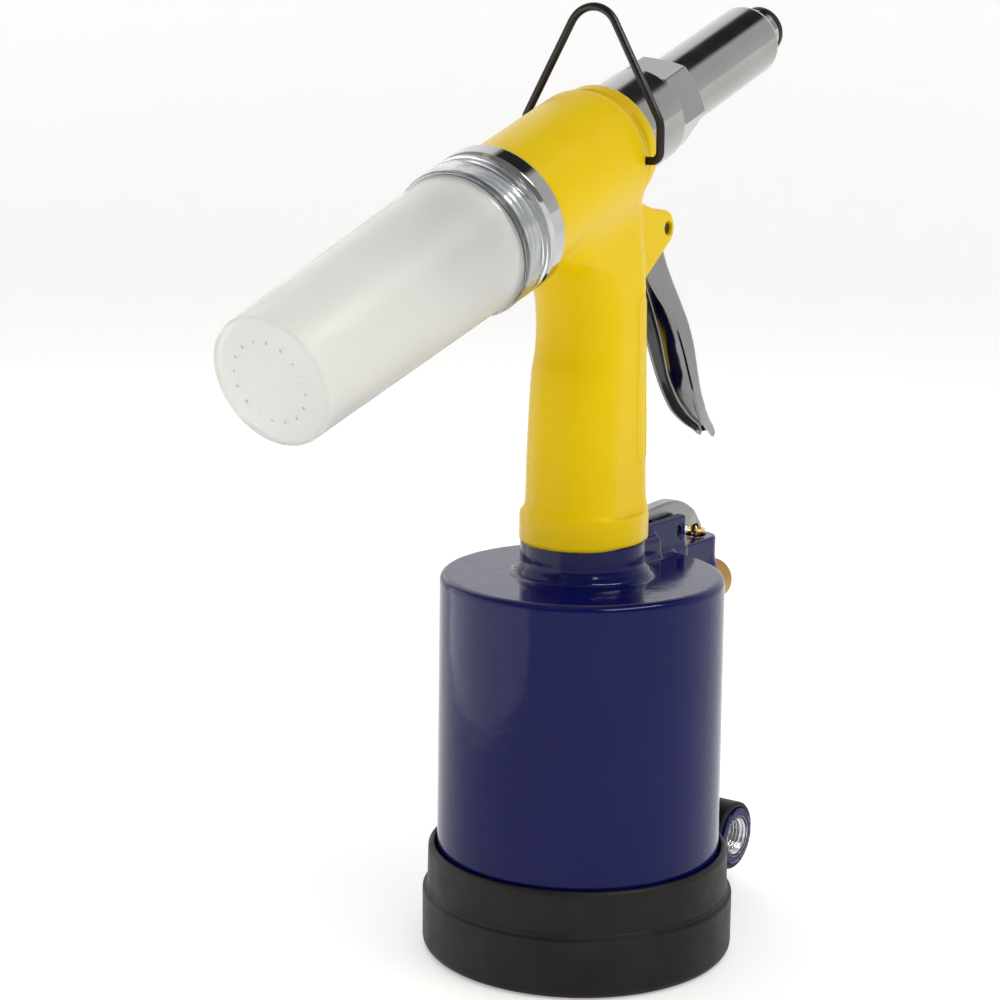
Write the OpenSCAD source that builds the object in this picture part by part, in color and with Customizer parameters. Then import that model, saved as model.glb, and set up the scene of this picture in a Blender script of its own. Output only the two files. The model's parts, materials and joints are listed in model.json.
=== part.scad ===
// Pneumatic-hydraulic rivet gun.
// +X points to the nose, +Y to the left side, +Z up. The origin is the centre of the boot's underside.
// Every size is in millimetres.

/* [Boot and cylinder] */
// Radius of the boot's lower band
boot_r = 53; // [52:0.5:55]
// Height of the boot's lower band
boot_ledge_z = 21.3; // [20:0.1:24]
// Height of the boot's lip
boot_lip_z = 36.2; // [34:0.1:40]
// Thickness of the boot's floor
boot_floor = 4; // [3.5:0.1:5]
// Radius of the cylinder at its bottom
cyl_r_low = 48.3; // [48:0.1:49]
// Radius of the cylinder at its top
cyl_r_top = 47.7; // [47:0.1:48]
// Height of the cylinder's flat top
cyl_top_z = 130.4; // [129:0.1:132]
// Radius of the air cylinder's bore
air_bore_r = 43; // [42:0.1:44]
// Stroke of the air piston
air_stroke = 70; // [60:1:74]

/* [Neck, inlet and valve] */
// Radius of the neck under the handle
neck_r = 20.9; // [20:0.1:22]
// Height of the joint between neck and handle
neck_top_z = 142.3; // [141:0.1:143]
// Distance of the valve and the inlet in front of the handle's axis
valve_x = 75; // [74:0.5:77]
// Half width of the valve body
valve_half_w = 7.2; // [7:0.1:8]
// Height of the inlet's axis
inlet_z = 20.4; // [19:0.1:22]
// Distance of the inlet's mouth from the middle plane
inlet_mouth_y = 20.8; // [20:0.1:23]
// Radius over the crests of the inlet's G1/4 thread
inlet_thread_r = 6.58; // [6.5:0.01:6.7]
// Height of the silencer's axis
silencer_z = 111.5; // [110:0.5:114]
// Distance of the rocker's pin in front of the handle's axis
rocker_x = 52; // [50:0.5:53]
// Height of the rocker's pin
rocker_z = 136.5; // [136:0.1:137.5]

/* [Handle and barrel] */
// Tilt of the barrel above level
tilt = 19; // [18:0.5:20]
// Height where the barrel's axis crosses the handle's axis
barrel_z = 269.5; // [268:0.5:271]
// Half width of the handle
handle_half_w = 17; // [16:0.5:17.5]
// Distance of the handle's front face
handle_front = 19.5; // [19:0.5:20]
// Radius of the barrel
barrel_r = 21.8; // [21.5:0.1:23]
// Radius of the oil bore in the handle
oil_bore_r = 8; // [7:0.1:8.5]
// Radius of the pulling cylinder in the barrel
pull_bore_r = 14.5; // [14:0.1:15]
// Stroke of the pulling piston
pull_stroke = 16; // [14:0.5:17]

/* [Trigger and hook] */
// Distance of the trigger's pin in front of the handle's axis
trigger_x = 34; // [33:0.5:36]
// Height of the trigger's pin
trigger_z = 243.5; // [242:0.5:245]
// Distance of the pull rod in front of the handle's axis
rod_x = 14.5; // [14.4:0.1:14.8]
// Radius of the hook's wire
hook_wire_r = 1.5; // [1.2:0.1:1.6]
// Height of the hook above its pivot
hook_h = 48; // [44:1:52]

/* [Nose] */
// Radius of the frame head
frame_head_r = 16.5; // [16.4:0.1:17.5]
// Size across the flats of the frame head's hexagon
hex_af = 28; // [27:0.5:30]
// Radius of the nose housing
nose_r = 12.9; // [12.6:0.1:13.5]
// Radius of the mandrel hole in the nosepiece
mandrel_r = 1.65; // [1.2:0.05:1.8]

/* [Collection bottle] */
// Radius of the bottle at its mouth end
bottle_r_front = 22.6; // [22.4:0.1:22.8]
// Radius of the bottle at its closed end
bottle_r_back = 20.2; // [19:0.1:22]
// Distance of the bottle's closed end behind the handle's axis
bottle_back = 170; // [150:1:180]
// Number of vent holes in the bottle's end
vent_count = 16; // [8:1:20]

/* [Hidden] */
$fn = 64;
gap = 0.05;                       // radial play of a running fit
cover_z = 7.6;                    // underside of the bottom cover
cover_h = 5.4;
bumper_h = 3;
piston_z = cover_z + cover_h + bumper_h;
piston_h = 12;
bore_top_z = piston_z + piston_h + air_stroke + 22;
spigot_r = 11.8;                  // neck spigot inside the handle
spigot_top_z = 156;
gland_r = 9.6;
gland_top_z = 150;
ram_r = 6.2;
ram_top_z = 148;
edge_r = 2.5;                     // rounding of the cylinder's top edge
column_low_z = 8.4;               // foot of the valve column
tongue_low_z = 98;                // underside of the valve body's full width
tongue_top_z = cyl_top_z - 0.2;
web_half_w = 4.5;
silencer_r = 7.5;
silencer_back = valve_x + valve_half_w + 0.4;
chamber_low_z = 94;               // floor of the valve chamber
ear_half_w = 7.2;
ear_inner = 3.7;
ear_top_z = 141.8;
rocker_half_w = 3;
sheet = 1.1;                      // thickness of the stamped rocker
trigger_sheet = 1.4;
trigger_ear_in = 6.5;
trigger_ear_out = 10;
trigger_end_r = 4.6;
pin_r = 2;
tab_half_w = 2.6;
rod_r = 1.5;
rod_head_z = 245.6;
rod_foot_z = 140.9;
hook_s = 0.5;                     // hook pivot, along the barrel
hook_n = -1.8;                    // hook pivot, below the barrel's axis
hook_out = 26;
hook_x = hook_s * cos(tilt) - hook_n * sin(tilt);
hook_z = barrel_z + hook_s * sin(tilt) + hook_n * cos(tilt);
casting_back = -53;               // stations along the barrel, + towards the nose
casting_front = 10;
pull_back = -12;                  // pulling piston at rest
cap_front = pull_back - pull_stroke - 14;
cap_ring_back = -61;
cap_back = -76;
pull_front = -1;
pull_bore_front = 4;
rod_front = 64;
pull_rod_r = 6.5;
hex_back = 34.5;
hex_front = 49.6;
nose_front = 110.7;
nose_bore_r = 10.9;
nose_bore_back = 38;
nose_bore_front = 104.5;
nosepiece_front = 119.5;
case_r = nose_bore_r - 0.07;
case_front = 103;
cone_back = 88;
cone_r_back = 7.6;
cone_r_front = 4.2;
jaw_back = 89;
jaw_front = 98.5;
jaw_play = 0.25;
guide_back = -92;
mouth_front = -61.5;
mouth_back = -75.5;
mouth_r = 24;
mouth_bore_r = 23.05;
oring_s = -72.8;
oring_r = 1.2;

// ---- helpers ----

// Stands a child on the barrel's axis: its z becomes the distance along the barrel,
// its -x points up and its y stays y.
module on_barrel() {
    translate([0, 0, barrel_z]) rotate([0, 90 - tilt, 0]) children();
}

// Points on an arc, from angle a0 to a1.
function arc(cx, cy, r, a0, a1, n = 6) =
    [for (i = [0 : n]) let (t = a0 + (a1 - a0) * i / n) [cx + r * cos(t), cy + r * sin(t)]];

module tube(r_out, r_in, z0, z1) {
    translate([0, 0, z0]) difference() {
        cylinder(r = r_out, h = z1 - z0);
        translate([0, 0, -1]) cylinder(r = r_in, h = z1 - z0 + 2);
    }
}

module rod(r, z0, z1) {
    translate([0, 0, z0]) cylinder(r = r, h = z1 - z0);
}

module ring_seal(r_mid, r_section, z) {
    translate([0, 0, z]) rotate_extrude() translate([r_mid, 0]) circle(r = r_section, $fn = 24);
}

// A plate in the XZ plane, |y| from y0 to y1, on the side given by dir.
module side_plate(y0, y1, dir) {
    translate([0, dir > 0 ? y1 : -y0, 0]) rotate([90, 0, 0]) linear_extrude(y1 - y0) children();
}

// A plate in the XZ plane, centred on the middle plane.
module mid_plate(half_w) {
    translate([0, half_w, 0]) rotate([90, 0, 0]) linear_extrude(2 * half_w) children();
}

module pin_across(x, z, r, half_l) {
    translate([x, 0, z]) rotate([90, 0, 0]) cylinder(r = r, h = 2 * half_l, center = true);
}

// Sweeps a round wire of radius r along points; closed ends.
function unit(v) = v / norm(v);
function path_dir(p, i) =
    unit(p[min(i + 1, len(p) - 1)] - p[max(i - 1, 0)]);
module wire(path, r, sides) {
    n = len(path);
    side = unit(cross(path_dir(path, 0), [0.31, 0.17, 0.93]));
    points = [for (i = [0 : n - 1])
        let (d = path_dir(path, i),
             u = unit(side - d * (side * d)),
             v = cross(d, u))
        for (k = [0 : sides - 1]) path[i] + r * (u * cos(360 * k / sides) + v * sin(360 * k / sides))];
    walls = [for (i = [0 : n - 2]) for (k = [0 : sides - 1])
        let (a = i * sides + k, b = i * sides + (k + 1) % sides)
        each [[a, b, b + sides], [a, b + sides, a + sides]]];
    start = [for (k = [sides - 1 : -1 : 0]) k];
    end = [for (k = [0 : sides - 1]) (n - 1) * sides + k];
    polyhedron(points, concat([start, end], [for (f = walls) [f[2], f[1], f[0]]]), convexity = 8);
}

// A helical spring about z.
module coil(r, wire_r, z0, z1, turns) {
    steps = 12;
    count = turns * steps;
    rise = (z1 - z0 - 2 * wire_r) / count;
    ring = [for (k = [0 : 5]) [r + wire_r * cos(60 * k), wire_r * sin(60 * k)]];
    points = [for (i = [0 : count])
        for (q = ring)
            [q[0] * cos(360 * i / steps), q[0] * sin(360 * i / steps), z0 + wire_r + q[1] + i * rise]];
    walls = [for (i = [0 : count - 1]) for (k = [0 : 5])
        let (a = i * 6 + k, b = i * 6 + (k + 1) % 6)
        each [[a, b, b + 6], [a, b + 6, a + 6]]];
    polyhedron(points, concat([[0, 1, 2, 3, 4, 5], [for (k = [5 : -1 : 0]) count * 6 + k]],
        [for (f = walls) [f[2], f[1], f[0]]]), convexity = 8);
}

// ---- base ----

// Outer shape of the casting below the boot's lip, grown by g.
module housing_foot(g) {
    translate([0, 0, boot_floor]) cylinder(r = cyl_r_low + g, h = boot_lip_z + 20);
    rod_at(valve_x, 0, valve_half_w + g, column_low_z - g, boot_lip_z + 20);
    translate([0, -web_half_w - g, column_low_z - g])
        cube([valve_x, 2 * (web_half_w + g), boot_lip_z + 20]);
    inlet_boss(g);
}

module rod_at(x, y, r, z0, z1) {
    translate([x, y, z0]) cylinder(r = r, h = z1 - z0);
}

module inlet_boss(g) {
    translate([valve_x, 0, inlet_z]) rotate([90, 0, 0]) cylinder(r = 10.3 + g, h = inlet_mouth_y + g);
}

module rubber_boot() {
    lobe_r = valve_half_w + 3;
    color("#1c1c1e") difference() {
        union() {
            rotate_extrude($fn = 96) polygon(concat(
                [[0, 0], [boot_r - 3, 0]],
                arc(boot_r - 3, 3, 3, -90, 0),
                [[boot_r, boot_ledge_z - 1.5]],
                arc(boot_r - 1, boot_ledge_z - 1, 1, 0, 90, 3),
                [[boot_r - 1.4, boot_ledge_z], [boot_r - 1.9, boot_lip_z - 1.3]],
                arc(boot_r - 3.2, boot_lip_z - 1.3, 1.3, 0, 180),
                [[0, boot_lip_z - 1.3]]));
            // lobe round the valve column
            rod_at(valve_x, 0, lobe_r, 6, boot_lip_z);
            translate([40, -lobe_r, 6]) cube([valve_x - 40, 2 * lobe_r, boot_lip_z - 6]);
            // tab in front of the column
            intersection() {
                rod_at(valve_x, 0, lobe_r, 6, boot_lip_z + 6);
                translate([valve_x, -lobe_r, 6]) cube([20, 2 * lobe_r, 40]);
            }
            // sleeve round the inlet
            translate([valve_x, 0, inlet_z]) rotate([90, 0, 0])
                cylinder(r = 12.4, h = inlet_mouth_y - 0.8);
        }
        housing_foot(0.2);
    }
}

// Rounded top edge, as a profile from the axis outwards.
function housing_profile() = concat(
    [[0, boot_floor], [cyl_r_low, boot_floor], [cyl_r_top, cyl_top_z - edge_r]],
    arc(cyl_r_top - edge_r, cyl_top_z - edge_r, edge_r, 0, 90),
    [[0, cyl_top_z]]);

module housing_outer() {
    rotate_extrude($fn = 96) polygon(housing_profile());
    rod(neck_r, cyl_top_z - 1, neck_top_z);
    rod(spigot_r, neck_top_z - 1, spigot_top_z);
    // saddle between the neck and the ears
    translate([10, -10.5, cyl_top_z - 1]) cube([25, 21, 138.5 - cyl_top_z + 1]);
    // ears
    translate([28, -ear_half_w, cyl_top_z - 1])
        cube([rocker_x + 3.6 - 28, 2 * ear_half_w, ear_top_z - cyl_top_z + 1]);
    // valve body and column
    rod_at(valve_x, 0, valve_half_w, column_low_z, tongue_top_z);
    translate([30, -valve_half_w, tongue_low_z])
        cube([valve_x - 30, 2 * valve_half_w, tongue_top_z - tongue_low_z]);
    translate([40, -web_half_w, column_low_z])
        cube([valve_x - 40, 2 * web_half_w, tongue_low_z - column_low_z + 1]);
    translate([valve_x, 0, silencer_z]) rotate([0, 90, 0])
        cylinder(r = silencer_r, h = silencer_back - valve_x);
    inlet_boss(0);
}

module cylinder_housing() {
    color("#262664") difference() {
        housing_outer();
        // air cylinder, with the groove of the snap ring
        rod(air_bore_r, 0, bore_top_z);
        rod(air_bore_r + 1.5, cover_z - 1.6, cover_z);
        // gland's bore
        rod(gland_r + 0.03, bore_top_z - 1, spigot_top_z + 1);
        // groove for the O-ring under the handle
        tube(spigot_r + 1, spigot_r - 1.5, 147, 150);
        // slot for the rocker, through the saddle and between the ears
        translate([rod_x - 2.5, -ear_inner, 137.4]) cube([60, 2 * ear_inner, 30]);
        translate([40, -ear_inner, cyl_top_z + 0.6]) cube([30, 2 * ear_inner, 30]);
        pin_across(rocker_x, rocker_z, 1.78, 20);
        // valve chamber, from above
        rod_at(valve_x, 0, 5, chamber_low_z, cyl_top_z + 1);
        // supply passage, from the inlet to the valve chamber
        rod_at(valve_x, 0, 2.6, inlet_z, chamber_low_z + 1);
        // delivery passage, from the valve chamber to the cylinder's foot
        translate([56, 0, 108.5]) rotate([0, 90, 0]) cylinder(r = 2, h = valve_x - 56);
        rod_at(56, 0, 2, 14.6, 108.5);
        translate([air_bore_r - 3, 0, 14.6]) rotate([0, 90, 0]) cylinder(r = 1.6, h = 56 - air_bore_r + 3);
        // exhaust passage and the silencer's thread
        translate([valve_x, 0, silencer_z]) rotate([0, 90, 0]) cylinder(r = 3, h = 30);
        translate([valve_x + 5.6, 0, silencer_z]) rotate([0, 90, 0]) cylinder(r = 4.5, h = 20);
        // inlet thread, with a chamfer at its mouth
        translate([valve_x, -inlet_mouth_y + 14, inlet_z]) rotate([90, 0, 0])
            cylinder(r = inlet_thread_r, h = 20);
        translate([valve_x, -inlet_mouth_y - 0.01, inlet_z]) rotate([-90, 0, 0])
            cylinder(r1 = inlet_thread_r + 0.85, r2 = inlet_thread_r, h = 0.85);
    }
}

module bottom_cover() {
    color("silver") difference() {
        union() {
            rod(air_bore_r - gap, cover_z, cover_z + cover_h);
            rod(12, cover_z - 2, cover_z + 1);
        }
        tube(air_bore_r + 1, air_bore_r - 2.65, cover_z + 1.3, cover_z + 4.1);
        for (a = [0 : 90 : 270]) rotate(a + 45) rod_at(30, 0, 2.5, cover_z - 1, cover_z + 2);
    }
}

module cover_oring() {
    color("#202020") ring_seal(air_bore_r - 1.35, 1.25, cover_z + 2.7);
}

module cover_snap_ring() {
    color("dimgray") difference() {
        tube(air_bore_r + 1.4, air_bore_r - 2.5, cover_z - 1.55, cover_z - 0.05);
        translate([-60, -8, 0]) cube([60, 16, 20]);
    }
}

module piston_bumper() {
    color("#303030") tube(38, 20, cover_z + cover_h, piston_z);
}

// ---- air piston and ram ----

module air_piston() {
    color("silver") difference() {
        rod(air_bore_r - 0.08, piston_z, piston_z + piston_h);
        tube(air_bore_r + 1, air_bore_r - 3.4, piston_z + 3, piston_z + 9);
        rod(10, piston_z - 1, piston_z + 6);
        rod(4.02, piston_z, piston_z + piston_h + 1);
        tube(34, 14, piston_z + 7, piston_z + piston_h + 1);
    }
}

module air_piston_seal() {
    color("#202020") difference() {
        tube(air_bore_r - 0.04, air_bore_r - 3.36, piston_z + 3.05, piston_z + 8.95);
        tube(air_bore_r - 1, air_bore_r - 2.4, piston_z + 2, piston_z + 6);
    }
}

module ram() {
    color("lightgray") difference() {
        union() {
            rod(ram_r, piston_z + piston_h, ram_top_z - 1);
            translate([0, 0, ram_top_z - 1]) cylinder(r1 = ram_r, r2 = ram_r - 1, h = 1);
            rod(4, piston_z + 0.5, piston_z + piston_h);
        }
        // hexagon key socket in the foot
        translate([0, 0, piston_z]) cylinder(r = 1.6, h = 4, $fn = 6);
    }
}

module ram_nut() {
    color("gray") difference() {
        translate([0, 0, piston_z + 1]) cylinder(r = 8, h = 5, $fn = 6);
        rod(4.02, piston_z, piston_z + 7);
    }
}

module ram_gland() {
    color("#b08d57") tube(gland_r, ram_r + gap, bore_top_z - 4, gland_top_z);
    color("#b08d57") tube(15, gland_r - 0.5, bore_top_z - 4, bore_top_z);
}

module gland_seal() {
    color("#202020") tube(gland_r, ram_r + 0.04, gland_top_z, gland_top_z + 4);
}

module neck_oring() {
    color("#202020") ring_seal(spigot_r - 0.75, 0.72, 148.5);
}

// ---- head casting ----

// Side view of the handle, in the XZ plane.
module handle_side() {
    polygon([
        [-neck_r, neck_top_z], [-neck_r, 152], [-20.2, 157], [-20, 170], [-19.3, 185],
        [-18.3, 198], [-16.5, 204.5], [-15.5, 210], [-15.7, 216], [-17.2, 223], [-20.5, 229.5],
        [-26, 234], [-34, 237], [-34, 252], [12, 262], [15.8, 254.6], [17.2, 252], [handle_front, 246],
        [handle_front, 157], [neck_r, 152], [neck_r, neck_top_z]]);
}

// Plan of the handle: flat sides, broad round back, tighter front corners.
module handle_plan() {
    front_r = 8;
    back_r = 15;
    side_y = handle_half_w;
    for (m = [-1, 1]) {
        translate([-20 + back_r, m * (side_y - back_r)]) circle(r = back_r);
        translate([handle_front - front_r, m * (side_y - front_r)]) circle(r = front_r);
    }
    translate([-5, -side_y]) square([handle_front - front_r + 5, 2 * side_y]);
    translate([-20, back_r - side_y]) square([15, 2 * (side_y - back_r)]);
    translate([0, front_r - side_y]) square([handle_front, 2 * (side_y - front_r)]);
}

module handle_body() {
    intersection() {
        mid_plate(handle_half_w) handle_side();
        union() {
            translate([0, 0, neck_top_z]) linear_extrude(85) handle_plan();
            translate([-40, -handle_half_w, 215]) cube([80, 2 * handle_half_w, 60]);
        }
    }
    // round collar on the neck
    rod(neck_r, neck_top_z, 152);
}

// The barrel's outer profile: radius against the distance along its axis.
module barrel_body() {
    rotate_extrude($fn = 96) polygon(concat(
        [[0, casting_back], [barrel_r, casting_back]],
        arc(barrel_r - 2.5, 0, 2.5, 0, 70),
        [[19.9, 4], [19.2, 5], [19.8, 6], [19.8, casting_front - 1], [18.8, casting_front],
         [0, casting_front]]));
}

module trigger_ear_side() {
    translate([trigger_x, trigger_z]) circle(r = trigger_end_r);
    polygon([[16, 254], [20, 252], [trigger_x + 1.3, trigger_z + 4.4],
        [trigger_x + 2, trigger_z - 4.1], [trigger_x - 2.3, trigger_z - 4], [22, 231], [16, 226]]);
}

module head_casting() {
    color("#f5c400") difference() {
        union() {
            handle_body();
            on_barrel() barrel_body();
            for (m = [-1, 1]) side_plate(trigger_ear_in, trigger_ear_out, m) trigger_ear_side();
        }
        // socket on the neck's spigot, then the oil bore and the port into the pulling cylinder
        rod(spigot_r + 0.03, neck_top_z - 1, spigot_top_z + 0.3);
        rod(oil_bore_r, spigot_top_z, 242);
        rod_at(5, 0, 2.2, 235, barrel_z - 8);
        // slot of the rocker's inner arm
        translate([spigot_r - 1, -ear_inner, neck_top_z - 1]) cube([20, 2 * ear_inner, 9]);
        // hole of the pull rod, and the slot of the trigger's tab
        rod_at(rod_x, 0, rod_r + 0.12, neck_top_z, trigger_z);
        translate([rod_x - 3.6, -3.1, trigger_z - 5.5]) cube([30, 6.2, 15.5]);
        // clear way between the ears
        translate([handle_front + 0.5, -trigger_ear_in, 214]) cube([30, 2 * trigger_ear_in, 37]);
        pin_across(trigger_x, trigger_z, pin_r + 0.02, 20);
        // oil plug on the left side
        translate([0, 6, 232]) rotate([-90, 0, 0]) cylinder(r = 4.02, h = 20);
        translate([0, handle_half_w - 2, 232]) rotate([-90, 0, 0]) cylinder(r = 7.5, h = 20);
        on_barrel() {
            rod(pull_bore_r, cap_front, pull_bore_front + 1);
            rod(16.02, casting_back - 1, cap_front);
            rod(16.02, pull_bore_front, casting_front + 1);
        }
        // holes of the hook
        for (m = [-1, 1]) translate([hook_x, m * 17, hook_z]) rotate([-90 * m, 0, 0])
            cylinder(r = hook_wire_r + 0.06, h = 10);
    }
}

module oil_plug() {
    color("gray") translate([0, 0, 232]) rotate([-90, 0, 0]) difference() {
        union() {
            rod(4, 8.5, handle_half_w - 0.9);
            rod(6.2, handle_half_w - 0.9, handle_half_w + 1.6);
        }
        translate([0, 0, handle_half_w - 0.5]) cylinder(r = 2.6, h = 4, $fn = 6);
    }
}

module oil_plug_washer() {
    color("#b87333") translate([0, 0, 232]) rotate([-90, 0, 0])
        tube(7, 4.05, handle_half_w - 2, handle_half_w - 0.9);
}

// ---- trigger and linkage ----

// Side view of the trigger's outer face line, top to tip.
function trigger_front_line() = [[trigger_x + 4.4, trigger_z - 1], [trigger_x + 4.2, 236.5],
    [45, 226], [50.4, 217.6], [55, 210.3], [58.8, 202.9], [61.6, 195.6], [64.3, 188.2],
    [69, 180.8], [75.5, 174.2], [81.5, 170]];
// The free edge of its sides, tip to top.
function trigger_back_line() = [[80.6, 167.2], [77.5, 168], [72, 170.8], [66, 175.5],
    [61, 182], [55.6, 191.4], [50.8, 200.4], [45.4, 209.6], [39.2, 215.9], [32.4, 222.7],
    [27.4, 229.2], [27.6, 236], [trigger_x - 4.4, trigger_z - 1.5]];

module trigger_side() {
    translate([trigger_x, trigger_z]) circle(r = 4.5);
    polygon(concat(trigger_front_line(), trigger_back_line()));
}

// Front view of the blade: half width against height, a leaf with a narrow neck.
module trigger_leaf(inset) {
    half = [[6.3, 260], [6.3, 230], [7, 219], [7.5, 210], [7.5, 200],
        [7.2, 190], [6.2, 180], [3.6, 170], [2, 160]];
    n = len(half);
    polygon(concat(
        [for (p = half) [p[0] - inset, p[1]]],
        [for (i = [n - 1 : -1 : 0]) [inset - half[i][0], half[i][1]]]));
}

module leaf_block(inset) {
    translate([-20, 0, 0]) rotate([90, 0, 90]) linear_extrude(140) trigger_leaf(inset);
}

module trigger() {
    color("silver") difference() {
        union() {
            // folded blade
            intersection() {
                mid_plate(10) trigger_side();
                leaf_block(0);
            }
            // tab that lifts the pull rod
            mid_plate(tab_half_w) polygon([[rod_x - 2.6, trigger_z - 2.2], [rod_x - 2.6, trigger_z + 0.9],
                [trigger_x - 4, trigger_z + 3], [trigger_x + 2, trigger_z + 3],
                [trigger_x + 2, trigger_z - 4], [trigger_x - 5, trigger_z - 4.2]]);
        }
        // hollow behind the blade's face
        intersection() {
            mid_plate(10) polygon(concat(
                [for (p = trigger_front_line()) [p[0] - trigger_sheet, p[1] - trigger_sheet * 0.6]],
                [[74, 168], [50, 150], [10, 200], [10, 235], [trigger_x - 8, trigger_z - 6],
                 [trigger_x + 2.6, trigger_z - 4.2]]));
            leaf_block(trigger_sheet);
        }
        pin_across(trigger_x, trigger_z, pin_r + gap, 20);
        // fork of the tab, round the pull rod
        translate([rod_x - 4, -rod_r - 0.2, trigger_z - 6]) cube([6.3, 2 * rod_r + 0.4, 12]);
    }
}

module trigger_pin() {
    color("#2a2a2a") pin_across(trigger_x, trigger_z, pin_r, trigger_ear_out - 0.2);
}

module trigger_rod() {
    color("gray") {
        rod_at(rod_x, 0, rod_r, rod_foot_z - 1, rod_head_z + 1);
        rod_at(rod_x, 0, 2.5, rod_head_z, rod_head_z + 2);
        rod_at(rod_x, 0, 2.4, rod_foot_z - 2.6, rod_foot_z);
    }
}

// Side view of the rocker: an arch from the pull rod over its pin to the valve.
function rocker_top_line() = [[rod_x - 2, 144.7], [30, 145.1], [40, 145.6], [50, 146.2],
    [56, 146.1], [60, 145.2], [64, 143.6], [67.5, 141.7], [71.5, 139], [75.2, 135.6],
    [valve_x + 1.6, 132.65]];
function rocker_low_line() = [[valve_x - 1, 132.65], [valve_x - 1.05, 134.9], [70, 137.4], [66, 139.4],
    [61, 141], [44, 142], [rod_x - 2, 141.5]];

module rocker_lever() {
    color("#8c8c88") difference() {
        union() {
            mid_plate(rocker_half_w) polygon(concat(rocker_top_line(), rocker_low_line()));
            // sides round the pin
            mid_plate(rocker_half_w) translate([rocker_x - 3.1, rocker_z]) square([6.2, 6]);
            pin_across(rocker_x, rocker_z, 3.1, rocker_half_w);
        }
        // folded sheet: open underneath
        mid_plate(rocker_half_w - sheet) polygon([[rod_x + 4, 139], [rod_x + 4, 143.6], [30, 144],
            [40, 144.5], [50, 145.1], [55.6, 145], [59.3, 144.2], [63.2, 142.6], [66.8, 140.7],
            [70.6, 137.4], [valve_x - 1.05, 135.45], [valve_x - 1.05, 130], [40, 130]]);
        // narrow beak over the valve
        for (m = [-1, 1]) translate([valve_x - 2.2, m > 0 ? 1.7 : -11.7, 128]) cube([12, 10, 20]);
        pin_across(rocker_x, rocker_z, 1.75 + gap, 20);
        // slot for the pull rod
        translate([rod_x - 3, -rod_r - 0.2, 138]) cube([5.4, 2 * rod_r + 0.4, 12]);
    }
}

module rocker_pin() {
    color("#3a3a3a") pin_across(rocker_x, rocker_z, 1.75, ear_half_w - 0.5);
}

// ---- valve ----

module valve_stem() {
    color("#c9a14a") translate([valve_x, 0, 0]) {
        rod(1.8, 103, 131.6);
        rod(3.4, 131.4, 132.6);
        // part of a cone that keeps the rocker's beak in place
        intersection() {
            translate([0, 0, 132.5]) cylinder(r1 = 3.35, r2 = 1.9, h = 2.7);
            translate([-12, -5, 132]) cube([10, 10, 8]);
        }
        rod(4.2, 103, 106);
    }
}

module valve_bush() {
    color("#b08d57") translate([valve_x, 0, 0]) difference() {
        tube(4.97, 1.8 + gap, 115.5, 128);
        tube(6, 4.2, 119, 121);
    }
}

module valve_spring() {
    color("gray") translate([valve_x, 0, 0]) coil(3.2, 0.35, chamber_low_z + 0.05, 102.95, 4);
}

module silencer() {
    color("#b8935a") translate([0, 0, silencer_z]) rotate([0, 90, 0]) {
        tube(4.45, 2.6, valve_x + 6, silencer_back + 1);
        rotate_extrude() polygon(concat(
            [[0, silencer_back + 2.4], [2.6, silencer_back], [silencer_r, silencer_back],
             [silencer_r, silencer_back + 5.5]],
            arc(silencer_r - 3, silencer_back + 5.5, 3, 0, 90),
            [[0, silencer_back + 8.5]]));
    }
}

// ---- pulling piston and rear ----

module pull_piston() {
    color("lightgray") on_barrel() difference() {
        union() {
            rod(pull_bore_r - 0.06, pull_back, pull_front);
            rod(pull_rod_r, pull_front - 1, rod_front);
            rod(4.98, rod_front - 1, rod_front + 9.5);
        }
        rod(3.4, pull_back - 1, rod_front + 20);
        tube(pull_bore_r + 1, 11.6, pull_back + 3.2, pull_back + 7);
        rod(5.02, pull_back - 1, pull_back + 6);
    }
}

module pull_piston_seal() {
    color("#202020") on_barrel() tube(pull_bore_r - 0.03, 11.63, pull_back + 3.25, pull_back + 6.95);
}

module rod_seal() {
    color("#202020") on_barrel() tube(9.45, pull_rod_r + 0.03, 6.05, 9.95);
}

module return_spring() {
    color("gray") on_barrel() coil(10.6, 1, cap_front + 0.1, pull_back - 0.1, 5);
}

module rear_cap() {
    color("silver") on_barrel() difference() {
        union() {
            rod(15.98, casting_back - 1, cap_front);
            rotate_extrude($fn = 96) polygon([[0, cap_ring_back], [23.2, cap_ring_back],
                [24.2, cap_ring_back + 1.6], [24.2, casting_back - 1.2], [23, casting_back],
                [0, casting_back]]);
            rod(21.2, cap_back, cap_ring_back + 1);
        }
        tube(25, 20.5, oring_s - 1.4, oring_s + 1.4);
        rod(5.06, cap_back - 1, cap_front + 1);
        tube(17.5, 8, cap_back - 1, cap_ring_back - 3);
    }
}

module collector_oring() {
    color("#181818") on_barrel() ring_seal(21.77, oring_r, oring_s);
}

module guide_tube() {
    color("gray") on_barrel() tube(5, 3.6, guide_back, pull_back + 6);
}

// The bottle's wall, radius against the distance along the barrel.
module bottle_profile() {
    wall = 1.1;
    end_r = 2.5;
    polygon(concat(
        [[0, -bottle_back], [bottle_r_back - end_r, -bottle_back]],
        arc(bottle_r_back - end_r, -bottle_back + end_r, end_r, -90, 0),
        [[bottle_r_front, mouth_back], [mouth_r, mouth_back + 1], [mouth_r, mouth_front],
         [mouth_bore_r, mouth_front], [mouth_bore_r, mouth_back + 1.2],
         [bottle_r_front - wall, mouth_back - 0.8],
         [bottle_r_back - wall, -bottle_back + end_r + 1],
         [bottle_r_back - wall - 2, -bottle_back + 1.5], [0, -bottle_back + 1.5]]));
}

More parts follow.
